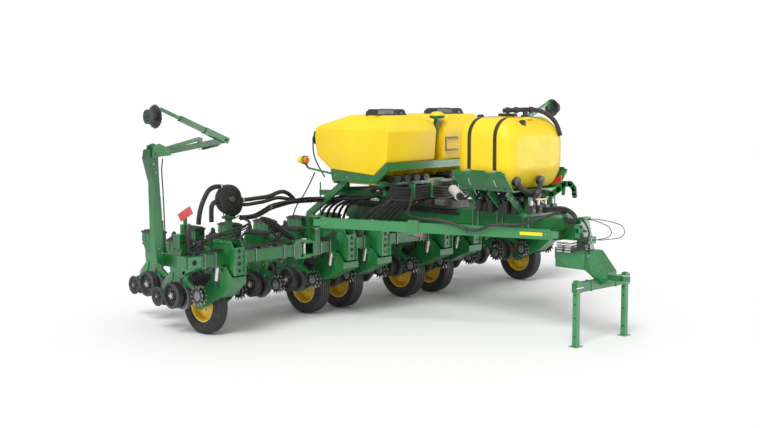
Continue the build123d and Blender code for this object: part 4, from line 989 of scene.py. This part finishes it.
gear = {"centre_frame": Piece("centre_lift_plates"), "right_wing": Piece("right_wing_lift_plates"),
        "left_wing": Piece("left_wing_lift_plates")}
for side, hand in SIDES:
    for x, body in ((side * ROW_SPACING, "centre_frame"), (side * 2 * ROW_SPACING, "centre_frame"),
                    (side * 5 * ROW_SPACING, f"{hand}_wing")):
        piece = gear[body]
        front = [(x - 0.097, 0.985), (x + 0.097, 0.985), (x + 0.097, 1.330), (x + 0.060, 1.402), (x - 0.060, 1.402),
                 (x - 0.097, 1.330)]
        piece.plate(front, (-0.207, -0.200), "Y", "frame_green")
        for way in (-1, 1):
            piece.block((x + way * 0.096 - 0.007, x + way * 0.096 + 0.007), (-0.238, -0.200), (0.985, 1.340),
                        "bracket_green")
        # Painted shade: thin dark discs stand for the holes in the front plate.
        for z, hole in ((1.350, 0.030), (1.255, 0.024), (1.160, 0.030), (1.055, 0.024)):
            piece.rod((x, -0.2085, z), (x, -0.2065, z), hole, "dark_hollow", 20)
        for z in (1.020, 1.120, 1.210, 1.300):
            for way in (-1, 1):
                piece.bolt((x + way * 0.072, -0.207, z), (0, -1, 0), 0.010)
        for way in (-1, 1):
            rib = [(-0.200, 1.395), (-0.120, 1.495), (0.355, 1.495), (0.355, 1.440), (-0.100, 1.440), (-0.180, 1.330)]
            piece.plate(rib, (x + way * 0.095, x + way * 0.104), "X", "bracket_green")
            for y in (-0.08, 0.10, 0.28):
                piece.bolt((x + way * 0.104, y, 1.468), (way, 0, 0), 0.013)
            piece.rod((x + way * 0.176, 0.050, 1.045), (x + way * 0.182, 0.050, 1.045), 0.036, "bare_steel", 16)
        barrel = x - 0.215
        piece.rod((barrel, 0.030, 1.128), (barrel, 0.075, 0.900), 0.030, "bare_steel", 20)
        piece.rod((barrel, 0.070, 0.925), (barrel, 0.090, 0.835), 0.019, "black_plastic", 16)
        piece.block((barrel - 0.045, barrel + 0.045), (0.00, 0.09), (1.100, 1.130), "bracket_green")
        lift = [(x + 0.030, 0.200, 1.380), (x + 0.060, 0.060, 1.450), (x + 0.050, -0.060, 1.440),
                (x + 0.070, 0.060, 1.350)]
        piece.tube(lift, 0.011, 8, 5)
for body, piece in gear.items():
    piece.done(body, "bracket_green", bevel=0.003)

hitch = Piece("hitch_details")
for row in range(4):
    z = 1.424 - 0.040 * row
    for low, high, size in ((-3.520, -3.250, 0.013), (-3.350, -3.270, 0.017), (-3.500, -3.420, 0.017)):
        hitch.rod((-0.150, low, z), (-0.150, high, z), size, "bare_steel", 12)
    hitch.block((-0.165, -0.110), (-3.400, -3.370), (z - 0.012, z + 0.012), "black_plastic")
    hitch.tube([(-0.150, -3.520, z), (-0.160, -3.620, z + 0.030), (-0.150, -3.760, z + 0.060),
                (-0.120, -3.830, z + 0.010), (-0.090, -3.790, z - 0.040)], 0.011, 8, 4)
for y, z in ((-3.640, 1.560), (-3.700, 1.640), (-3.620, 1.700)):
    hitch.block((-0.165, -0.110), (y - 0.045, y + 0.045), (z - 0.035, z + 0.035), "bracket_green")
    hitch.rod((-0.150, y - 0.100, z), (-0.150, y - 0.045, z), 0.018, "black_plastic", 14)
hitch.tube([(-0.120, -3.700, 1.790), (-0.170, -3.800, 1.740), (-0.160, -3.850, 1.620), (-0.130, -3.790, 1.500),
            (-0.120, -3.700, 1.460)], 0.014, 8, 5)
for side in (-1, 1):
    cheek = [(-3.760, 1.345), (-3.905, 1.345), (-4.155, 1.060), (-4.155, 0.950), (-4.060, 0.900), (-3.860, 1.020)]
    hitch.plate(cheek, (side * 0.110, side * 0.118), "X", "bracket_green")
    for y, z in ((-3.82, 1.26), (-3.92, 1.16), (-4.02, 1.06), (-4.10, 0.98)):
        hitch.bolt((side * 0.118, y, z), (side, 0, 0), 0.018)
    lower = [(-3.190, 1.350), (-3.745, 1.350), (-3.745, 1.055), (-3.500, 1.055), (-3.190, 1.180)]
    hitch.plate(lower, (side * 0.110, side * 0.116), "X", "bracket_green")
    for y in (-3.25, -3.42, -3.68):
        hitch.bolt((side * 0.116, y, 1.115 + (0.10 if y > -3.3 else 0)), (side, 0, 0), 0.015)
    sleeve_x = side * 0.610
    hitch.block((sleeve_x - 0.060, sleeve_x + 0.060), (-4.022, -4.018), (0.790, 0.950), "bracket_green")
    hitch.rod((sleeve_x - 0.075, -4.030, 0.870), (sleeve_x + 0.075, -4.030, 0.870), 0.010, "bare_steel")
    hitch.block((side * 0.30, side * 0.32), (-4.030, -3.910), (0.790, 0.950), "bracket_green")
hitch.lathe((0, -4.400, 0), [(0.936, 0.030), (0.936, 0.064), (0.944, 0.0648), (1.016, 0.0648), (1.024, 0.064),
                             (1.024, 0.030)], "bare_steel", 32, "Z")
for x in (-0.06, 0.06):
    hitch.rod((x, -3.702, 1.803), (x, -3.735, 1.803), 0.012, "bare_steel", 6)
    hitch.rod((x, -3.794, 1.495 if x > 0 else 1.505), (x, -3.825, 1.495 if x > 0 else 1.505), 0.012, "bare_steel", 6)
hitch.done("hitch", "bracket_green", bevel=0.003)

# Seed tank frame, blower, lamp and receiver ------------------------------------

body_work = Piece("tank_frame_details")
for side in (-1, 1):
    body_work.prism(flip(side, [(0.40, -0.30, 2.170), (1.08, -0.30, 2.170), (1.08, 0.45, 2.170), (0.40, 0.45, 2.170)]),
                    flip(side, [(0.16, -0.42, 2.352), (1.16, -0.42, 2.352), (1.16, 0.60, 2.352), (0.16, 0.60, 2.352)]),
                    "tank_yellow")
    for x in (0.34, 0.56, 0.78, 1.00):
        route = flip(side, [(x, -0.70, 2.290), (x, -0.50, 2.250), (x, -0.30, 2.180), (x - 0.05, -0.10, 2.060)])
        body_work.tube(route, 0.044, 12, 5, 0.03)
        body_work.lathe((side * x, -0.715, 2.292), sleeve(0.02, 0.01, 0.056), "black_plastic", 20, "Y")
    for outline in ([(0.600, 2.398), (-0.420, 2.338), (-0.460, 2.210), (0.560, 2.210)],
                    [(-0.420, 2.338), (-0.702, 2.558), (-0.746, 2.558), (-0.746, 2.440), (-0.460, 2.210)]):
        body_work.plate(outline, (side * 1.233, side * 1.240), "X", "frame_green")
    for y, z in ((0.48, 2.30), (0.20, 2.28), (-0.08, 2.27), (-0.36, 2.26), (-0.55, 2.38)):
        body_work.bolt((side * 1.240, y, z), (side, 0, 0), 0.014)
    body_work.rod((side * 1.150, 0.95, 1.330), (side * 1.150, 0.95, 2.160), 0.012, "frame_green")
    # Side rail, uprights and seed delivery hoses between the tank frame and the tongue beam.
    body_work.beam((side * 0.92, -0.66, 2.040), (side * 0.92, 1.20, 1.960), 0.060, 0.090, "frame_green")
    for y in (-0.520, 0.520):
        body_work.beam((side * 0.16, y, 2.030), (side * 1.10, y, 2.060), 0.060, 0.080, "frame_green")
        body_work.beam((side * 0.92, y, 2.030), (side * 0.92, y, 2.200), 0.050, 0.050, "frame_green")
    for row, x in enumerate((0.24, 0.38, 0.52, 0.66, 0.80, 0.98)):
        fall = 0.018 * (row % 3)
        body_work.tube(flip(side, [(x, -0.400, 2.105), (x, -0.200, 2.020 - fall), (x + 0.02, 0.200, 1.960 - fall),
                                   (x + 0.04, 0.700, 1.900 - fall), (x + 0.06, 1.150, 1.700),
                                   (x + 0.08, 1.290, 1.420)]), 0.024, 10, 4)
        body_work.tube(flip(side, [(x, -0.440, 2.105), (x, -0.560, 2.030 - fall), (x + 0.05, -0.500, 1.900),
                                   (x + 0.10, -0.240, 1.780), (x + 0.14, 0.000, 1.560), (x + 0.14, 0.090, 1.330)]),
                       0.022, 10, 4)
    for x in (0.34, 0.62, 0.90):
        body_work.block((side * (x - 0.080), side * (x + 0.080)), (-0.640, -0.480), (1.930, 2.090), "black_plastic")
        body_work.rod((side * x, -0.660, 2.010), (side * x, -0.640, 2.010), 0.045, "disc_steel", 20)
body_work.rod((-0.140, -1.280, 2.000), (0.060, -0.960, 2.075), 0.082, "white_cover", 28)
body_work.rod((-0.165, -1.320, 1.991), (-0.140, -1.280, 2.000), 0.060, "black_plastic", 28)
body_work.rod((0.060, -0.960, 2.075), (0.085, -0.920, 2.084), 0.090, "black_plastic", 28)
body_work.block((-0.30, 0.10), (-1.26, -0.78), (1.802, 1.930), "black_plastic")
body_work.block((-0.158, 0.158), (-0.650, -0.563), (1.840, 2.165), "black_plastic")
for strand in range(5):
    drop = 0.045 * strand
    body_work.tube([(-1.140, -0.700, 2.170 - drop), (-0.800, -0.740, 2.130 - drop), (-0.400, -0.780, 2.150 - drop),
                    (0.000, -0.800, 2.110 - drop), (0.400, -0.780, 2.140 - drop), (0.900, -0.720, 2.120 - drop)],
                   0.024, 10, 4)
for x in (-0.720, -0.300, 0.340, 0.760):
    body_work.block((x - 0.020, x + 0.020), (-0.830, -0.720), (1.960, 2.200), "frame_green")
body_work.rod((-0.36, -0.90, 1.880), (-0.36, -0.60, 1.880), 0.060, "black_plastic", 24)
body_work.rod((-0.34, -1.16, 1.900), (-0.34, -0.96, 1.900), 0.050, "disc_steel", 24)
for low in (2.700, 2.900):
    body_work.block((0.105, 0.420), (-0.752, -0.742), (low, low + 0.030), "black_plastic")
body_work.block((0.105, 0.125), (-0.754, -0.742), (2.700, 2.930), "black_plastic")
body_work.beam((-1.240, 0.58, 2.330), (-1.300, 1.080, 2.400), 0.030, 0.030, "frame_green")
body_work.beam((-1.300, 1.080, 2.400), (-1.300, 1.180, 2.490), 0.026, 0.026, "black_plastic")
body_work.block((-1.345, -1.255), (1.140, 1.175), (2.460, 2.600), "frame_green")
body_work.lathe((-1.300, 1.138, 2.530), [(-0.030, 0.01), (-0.030, 0.050), (0.0, 0.062), (0.002, 0.01)],
                "amber_lens", 28, "Y")
body_work.lathe((-1.300, 1.240, 2.530), [(-0.050, 0.01), (-0.050, 0.075), (0.040, 0.060), (0.050, 0.01)],
                "tank_yellow", 28, "Y")
body_work.tube([(-1.255, 0.960, 3.020), (-1.262, 1.000, 2.860), (-1.262, 0.985, 2.640), (-1.250, 0.900, 2.460),
                (-1.220, 0.760, 2.260)], 0.012, 8, 5)
body_work.tube([(-1.245, 0.980, 2.330), (-1.300, 1.040, 2.150), (-1.400, 1.090, 1.950), (-1.520, 1.130, 1.780),
                (-1.600, 1.160, 1.560)], 0.011, 8, 5)
body_work.lathe((-1.180, 1.010, 2.880), sleeve(0.012, 0.01, 0.085), "frame_green", 28, "Y")
body_work.done("centre_frame", "bracket_green", bevel=0.004)

post_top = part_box("receiver")
centre = (post_top[0] + post_top[1]) / 2 - FACE
dome = Piece("receiver_dome")
low_z, high_z = post_top[0].z, post_top[1].z
dome.lathe((centre.x, centre.y, 0), [(low_z, 0.02), (low_z, 0.118), (low_z + 0.030, 0.130), (low_z + 0.046, 0.126),
                                    (low_z + 0.050, 0.02)], "frame_green", 40, "Z")
dome.lathe((centre.x, centre.y, 0), [(low_z + 0.046, 0.02), (low_z + 0.046, 0.122), (low_z + 0.080, 0.108),
                                    (high_z - 0.008, 0.075), (high_z, 0.040), (high_z, 0.02)], "tank_yellow", 40, "Z")
dome.done("centre_frame", "tank_yellow", ("receiver",), bevel=0.002)

# Vacuum fan and the hoses along the frame --------------------------------------

FAN = (-3.048, 1.020, 1.990)
fan = Piece("vacuum_fan_housing")
scroll = [(-0.070, 0.010), (-0.070, 0.198), (-0.055, 0.226), (-0.020, 0.234), (0.030, 0.234), (0.062, 0.220),
          (0.070, 0.178), (0.070, 0.010)]
fan.lathe(FAN, scroll, "black_plastic", 48, "Y")
volute = [(-0.064, 0.010), (-0.064, 0.150), (-0.050, 0.180), (-0.018, 0.189), (0.028, 0.189), (0.056, 0.176),
          (0.064, 0.140), (0.064, 0.010)]
fan.lathe((FAN[0] + 0.070, FAN[1], FAN[2] - 0.090), volute, "black_plastic", 48, "Y")
for radius in (0.060, 0.110, 0.165):
    fan.lathe(FAN, [(-0.080, radius - 0.006), (-0.080, radius + 0.006), (-0.068, radius + 0.008),
                    (-0.068, radius - 0.008)], "black_plastic", 40, "Y")
for rib in range(12):
    angle = math.tau * rib / 12
    c, s = math.cos(angle), math.sin(angle)
    inner, outer = ((FAN[0] + reach * c, FAN[1] - 0.072, FAN[2] + reach * s) for reach in (0.055, 0.195))
    fan.beam(inner, outer, 0.012, 0.012, "black_plastic")
fan.lathe(FAN, [(-0.120, 0.008), (-0.120, 0.040), (-0.068, 0.052), (-0.068, 0.008)], "disc_steel", 28, "Y")
fan.block((FAN[0] - 0.040, FAN[0] + 0.040), (FAN[1] - 0.040, FAN[1] + 0.040), (BAR_TOP + 0.001, FAN[2] - 0.230),
          "frame_green")
fan.block((FAN[0] - 0.090, FAN[0] + 0.090), (FAN[1] - 0.065, FAN[1] + 0.065), (FAN[2] - 0.310, FAN[2] - 0.270),
          "frame_green")
fan.tube([(-3.060, 1.020, 2.150), (-3.150, 1.020, 2.185), (-3.240, 1.020, 2.200), (-3.330, 1.020, 2.195),
          (-3.430, 1.020, 2.150), (-3.500, 1.020, 2.060), (-3.560, 1.020, 1.950), (-3.600, 1.020, 1.840),
          (-3.625, 1.020, 1.730), (-3.635, 1.020, 1.630)], 0.038, 16, 6, 0.02)
fan.tube([(-3.100, 1.020, 1.955), (-3.230, 1.020, 1.965), (-3.320, 1.020, 1.955), (-3.375, 1.020, 1.900),
          (-3.385, 1.020, 1.800), (-3.385, 1.020, 1.650)], 0.038, 16, 6, 0.02)
fan.tube([(-2.900, 1.020, 1.975), (-2.780, 1.020, 1.960), (-2.640, 1.020, 1.960), (-2.497, 1.020, 1.968)],
         0.034, 14, 6, 0.02)
fan.tube([(-2.900, 1.020, 1.900), (-2.780, 1.020, 1.885), (-2.640, 1.020, 1.880), (-2.500, 1.020, 1.890)],
         0.030, 14, 6, 0.02)
for x, z in ((-3.200, 2.196), (-3.200, 1.966), (-2.840, 1.965), (-2.760, 1.960), (-2.840, 1.890)):
    fan.lathe((x, 1.020, z), sleeve(0.012, 0.034, 0.043), "bare_steel", 20)
fan.tube([(-3.160, 0.960, 1.860), (-3.200, 0.950, 1.760), (-3.130, 0.950, 1.690), (-3.000, 0.950, 1.680),
          (-2.900, 0.950, 1.720)], 0.010, 8, 6)
fan.done("right_wing", "black_plastic", ("vacuum_fan",), bevel=0.002)

crossing = Piece("vacuum_hoses_over_hinge")
crossing.tube([(-2.497, 1.020, 1.968), (-2.330, 1.020, 1.974), (-2.177, 1.020, 1.990), (-2.040, 1.020, 2.030),
               (-1.914, 1.020, 2.040), (-1.800, 1.020, 2.000), (-1.710, 1.020, 1.930), (-1.650, 1.020, 1.860)],
              0.034, 14, 6, 0.02)
crossing.tube([(-2.500, 1.020, 1.890), (-2.330, 1.010, 1.905), (-2.177, 1.000, 1.935), (-2.040, 0.990, 1.950),
               (-1.900, 0.980, 1.930), (-1.760, 0.970, 1.900)], 0.030, 14, 6, 0.02)
bundle = [(-2.911, 1.690), (-2.760, 1.690), (-2.599, 1.700), (-2.430, 1.760), (-2.279, 1.820), (-2.060, 1.850),
          (-1.843, 1.874), (-1.620, 1.884), (-1.394, 1.887)]
for strand in range(5):
    lift, back = twist(strand, 1.7, 0.028, 0.030)
    route = [(x, 0.900 + back, z + lift + 0.008 * math.sin(7 * x + strand)) for x, z in bundle]
    crossing.tube(route, 0.013 + 0.002 * (strand % 3), 8, 4)
crossed = crossing.done("right_wing", "hose_black", bevel=0)
crossed.parent = None
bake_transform(crossed)

looms = {"centre_frame": Piece("centre_hose_looms"), "right_wing": Piece("right_wing_hose_looms"),
         "left_wing": Piece("left_wing_hose_looms")}
for strand in range(5):
    lift, back = twist(strand, 1.7, 0.026, 0.028)
    size = 0.013 + 0.002 * (strand % 3)
    route = [(-1.394, 1.887), (-1.220, 1.878), (-1.049, 1.868), (-0.813, 1.890), (-0.560, 1.880), (-0.300, 1.862)]
    looms["centre_frame"].tube([(x, 0.900 + back - 0.25 * (x + 1.394), z + lift + 0.008 * math.sin(7 * x + strand))
                                for x, z in route], size, 8, 4)
for side, hand in SIDES:
    loom = looms[f"{hand}_wing"]
    for strand in range(4):
        lift, back = twist(strand, 2.1, 0.022, 0.024)
        route = [(4.320, 0.34, 1.370), (4.100, 0.30, 1.450), (3.850, 0.32, 1.530), (3.560, 0.34, 1.560),
                 (3.240, 0.40, 1.600), (2.960, 0.60, 1.650), (2.900, 0.86, 1.690)]
        loom.tube([(side * x, y + back, z + lift + 0.012 * math.sin(6 * x + 2 * strand)) for x, y, z in route],
                  0.012 + 0.002 * (strand % 2), 8, 4)
    for x in front_rows[3:]:
        loom.tube(flip(side, [(x, 0.26, 1.385), (x + 0.05, 0.30, 1.480), (x + 0.12, 0.33, 1.545)]), 0.018, 8, 4)
    for x in (2.560, 2.860, 3.200, 3.560, 4.350):
        loom.block((side * (x - 0.016), side * (x + 0.016)), (0.020, 0.150), (BAR_TOP, BAR_TOP + 0.030),
                   "black_plastic")
    for line in range(3):
        route = bar_line(side, 0.050 + 0.035 * line, line, (4.500, 4.250, 4.020, 3.600, 3.300, 3.000, 2.700, 2.500))
        loom.tube(route, 0.010, 6, 4)
    loom.beam((side * 4.150, 0.520, 1.330), (side * 4.250, 0.560, 1.640), 0.050, 0.030, "frame_green")
    loom.block((side * 4.120, side * 4.300), (0.560, 0.585), (1.560, 1.720), "bracket_green")
    loom.block((side * 4.110, side * 4.310), (0.585, 0.760), (1.350, 1.560), "frame_green")
    loom.beam((side * 4.110, 0.552, 1.930), (side * 4.330, 0.552, 1.820), 0.012, 0.130, "red_reflector")
    loom.beam((side * 4.210, 0.570, 1.560), (side * 4.220, 0.566, 1.880), 0.014, 0.090, "bracket_green")
    loom.tube(flip(side, [(4.190, 0.470, 1.310), (4.210, 0.480, 1.450), (4.225, 0.490, 1.600), (4.190, 0.520, 1.690)]),
              0.048, 14, 5)
    for strand in range(4):
        apart = 0.026 * strand
        loom.tube(flip(side, [(2.920, 0.300 + apart, 1.740), (2.780, 0.270 + apart, 1.690 - apart),
                              (2.600, 0.220 + apart, 1.550 - apart), (2.440, 0.160 + apart, 1.420 - 0.5 * apart),
                              (2.400, 0.100 + apart, 1.330)]), 0.019, 8, 4)
    loom.block((side * 4.360, side * 4.600), (-0.009, -0.001), (1.140, 1.300), "bracket_green")
    # Painted shade: a thin dark disc stands for the hole in the plate.
    loom.rod((side * 4.480, -0.0105, 1.220), (side * 4.480, -0.0085, 1.220), 0.042, "dark_hollow", 28)
    for x in (4.385, 4.575):
        for z in (1.165, 1.275):
            loom.bolt((side * x, -0.009, z), (0, -1, 0), 0.012)
front_loom = looms["centre_frame"]


def over_bracket(x):
    """How much higher a line runs where it crosses a wheel bracket."""
    return 0.17 if min(x % ROW_SPACING, -x % ROW_SPACING) < 0.161 else 0.0


for line in range(4):
    y = 0.040 + 0.032 * line
    for side in (-1, 1):
        route = bar_line(side, y, line, (2.000, 1.780, 1.380, 1.150, 0.900, 0.600, 0.350, 0.180))
        front_loom.tube([(a, b, c + over_bracket(a)) for a, b, c in route], 0.010, 6, 4)
    front_loom.tube([(-0.170 - 0.020 * line, y, 1.700 + 0.022 * line) for y in (1.300, 0.900, 0.500, 0.100, -0.400,
                                                                               -0.900, -1.300)],
                    0.011, 8, 3)
front_loom.beam((0.060, -0.040, 1.290), (0.300, -0.040, 1.225), 0.012, 0.110, "red_reflector", None, 0.070)
for body, piece in looms.items():
    piece.done(body, "hose_black", bevel=0.002)

draped = Piece("frame_hose_line")
FRAME_HOSE = ((-0.700, -0.470, 2.135), (-0.700, -0.730, 2.135), (-0.952, -0.965, 1.931), (-1.290, -1.230, 1.795),
              (-1.410, -1.560, 1.762), (-1.300, -1.850, 1.745), (-1.190, -2.080, 1.700), (-1.090, -2.270, 1.622),
              (-1.010, -2.430, 1.614), (-0.930, -2.590, 1.690), (-0.830, -2.760, 1.712), (-0.690, -2.990, 1.722),
              (-0.579, -3.217, 1.808), (-0.380, -3.385, 1.890), (-0.165, -3.400, 1.895))
draped.tube(FRAME_HOSE, 0.022, 12, 6)
draped.lathe(FRAME_HOSE[7], sleeve(0.02, 0.022, 0.030), "black_plastic", 16, "Y")
draped.done("centre_frame", "hose_black", ("frame_hose",), bevel=0)

front_bundle = Piece("tongue_hose_bundle")
for strand in range(6):
    lift, aside = twist(strand, 1.1, 0.026, 0.030)
    route = [(-0.10, -2.700, 1.860), (-0.12, -2.850, 1.880), (-0.13, -3.012, 1.897), (-0.14, -3.180, 1.925),
             (-0.15, -3.308, 1.937), (-0.16, -3.430, 1.930), (-0.18, -3.545, 1.895), (-0.20, -3.620, 1.840),
             (-0.20, -3.610, 1.780), (-0.19, -3.520, 1.770), (-0.18, -3.420, 1.790)]
    front_bundle.tube([(x + aside, y, z + lift) for x, y, z in route], 0.015, 8, 5)
front_bundle.done("centre_frame", "hose_black", bevel=0)

hook = Piece("front_hook_bracket")
bend = [(-2.690, 2.140), (-2.880, 2.110), (-3.010, 2.190), (-3.110, 2.285), (-3.230, 2.290), (-3.300, 2.220),
        (-3.310, 2.120)]
for first, second in zip(bend, bend[1:]):
    hook.beam((0.200, *first), (0.200, *second), 0.026, 0.090, "frame_green")
    hook.rod((0.187, *second), (0.213, *second), 0.045, "frame_green", 16)
hook.beam((0.200, -3.110, 2.270), (0.200, -3.095, 2.110), 0.026, 0.055, "frame_green")
hook.block((0.150, 0.230), (-2.800, -2.690), (2.060, 2.170), "frame_green")
hook.plate([(-2.860, 2.250), (-3.060, 2.430), (-3.080, 2.330)], (0.180, 0.190), "X", "red_reflector")
hook.done("centre_frame", "frame_green", bevel=0.004)

# Row markers -------------------------------------------------------------------

for side, hand in SIDES:
    disc = Piece(f"{hand}_marker_notched_disc")
    hub_x = side * 4.610
    centre = (hub_x, 0.600, 3.330)
    disc.toothed(centre, (side * 0.086, side * 0.094), 0.165, 0.184, 20, "disc_steel", lean=0.2)
    disc.lathe(centre, [(side * a, r) for a, r in ((0.046, 0.0152), (0.046, 0.048), (0.084, 0.056), (0.096, 0.060),
                                                   (0.120, 0.045), (0.160, 0.045), (0.168, 0.060), (0.172, 0.108),
                                                   (0.228, 0.108), (0.229, 0.060), (0.229, 0.0152))],
               "gauge_rubber", 36)
    disc.bolt_ring((hub_x + side * 0.080, 0.600, 3.330), -side, 0.046, 6, 0.009)
    disc.done(f"{hand}_marker_coulter", "disc_steel", (f"{hand}_marker_disc",), bevel=0)

    spring = Piece(f"{hand}_marker_spring")
    for turn in range(22):
        x = side * (3.560 + 0.014 * turn)
        z = 2.940 - 0.0023 * turn
        spring.lathe((x, 0.600, z - 0.058), [(-0.005, 0.019), (0.0, 0.024), (0.005, 0.019), (0.0, 0.014)],
                     "black_plastic", 14)
    spring.rod((side * 3.500, 0.600, 2.886), (side * 3.930, 0.600, 2.822), 0.008, "bare_steel")
    spring.done(f"{hand}_marker_middle", "bracket_green", bevel=0)

    mast = Piece(f"{hand}_marker_mast_details")
    for y in (0.536, 0.664):
        way = -1 if y < 0.6 else 1
        for x, z in ((4.655, 1.150), (4.720, 1.180), (4.660, 1.330), (4.720, 1.400), (4.755, 2.520), (4.790, 2.640)):
            mast.bolt((side * x, y, z), (0, way, 0), 0.014)
    mast.tube(flip(side, [(4.640, 0.530, 1.350), (4.620, 0.520, 1.620), (4.628, 0.520, 1.950), (4.640, 0.520, 2.280),
                          (4.655, 0.520, 2.550), (4.640, 0.510, 2.720)]), 0.010, 8, 5)
    mast.rod((side * 4.610, 0.600, 1.380), (side * 4.622, 0.600, 1.800), 0.030, "frame_green", 18)
    mast.rod((side * 4.622, 0.600, 1.790), (side * 4.634, 0.600, 2.150), 0.015, "bare_steel", 14)
    mast.done(f"{hand}_marker_base", "bracket_green", bevel=0.002)

# Floor and light ---------------------------------------------------------------

HALF_FLOOR, FLOOR_TOP = 60.0, -0.001
ROOM_LIGHT, BACKDROP_LIGHT, WHITE = 0.62, 1.1, (1.0, 1.0, 1.0, 1)

floor_mesh = bpy.data.meshes.new("floor")
floor_corners = [(HALF_FLOOR * a, HALF_FLOOR * b, FLOOR_TOP) for a, b in ((-1, -1), (1, -1), (1, 1), (-1, 1))]
floor_mesh.from_pydata(floor_corners, [], [(0, 1, 2, 3)])
floor_finish = finish("floor_white", (0.92, 0.92, 0.92), (0.93, 0.93, 0.93), 0.7, 0.8, 0.4)
floor_mesh.materials.append(floor_finish)
floor = linked("floor", floor_mesh)

world = bpy.data.worlds.new("studio")
world.use_nodes = True
backdrop = world.node_tree
surrounding = backdrop.nodes["Background"]
surrounding.inputs["Color"].default_value = WHITE
surrounding.inputs["Strength"].default_value = ROOM_LIGHT
behind = backdrop.nodes.new("ShaderNodeBackground")
behind.inputs["Color"].default_value = WHITE
behind.inputs["Strength"].default_value = BACKDROP_LIGHT
chosen = backdrop.nodes.new("ShaderNodeMixShader")
seen = backdrop.nodes.new("ShaderNodeLightPath")
backdrop.links.new(seen.outputs["Is Camera Ray"], chosen.inputs["Fac"])
backdrop.links.new(surrounding.outputs["Background"], chosen.inputs[1])
backdrop.links.new(behind.outputs["Background"], chosen.inputs[2])
backdrop.links.new(chosen.outputs["Shader"], backdrop.nodes["World Output"].inputs["Surface"])
bpy.context.scene.world = world
bpy.context.scene.view_settings.view_transform = "Standard"


def softbox(name, place, target, width, height, watts, gloss_only=False):
    """A large soft light aimed at a point."""
    data = bpy.data.lights.new(name, "AREA")
    data.shape = "RECTANGLE"
    data.size = width
    data.size_y = height
    data.energy = watts
    lamp = linked(name, data)
    lamp.location = FACE + Vector(place)
    lamp.rotation_euler = (Vector(target) - Vector(place)).to_track_quat("-Z", "Y").to_euler()
    lamp.visible_camera = False
    if gloss_only:
        lamp.visible_diffuse = False


softbox("gloss_panel", (13.0, -13.0, 3.5), (0, 0, 1.4), 12.0, 7.0, 1500, gloss_only=True)

sun_data = bpy.data.lights.new("broad_key", "SUN")
sun_data.energy = 2.3
sun_data.angle = math.radians(28)
sun = linked("broad_key", sun_data)
sun.rotation_euler = Vector((0.60, 0.35, -0.72)).to_track_quat("-Z", "Y").to_euler()
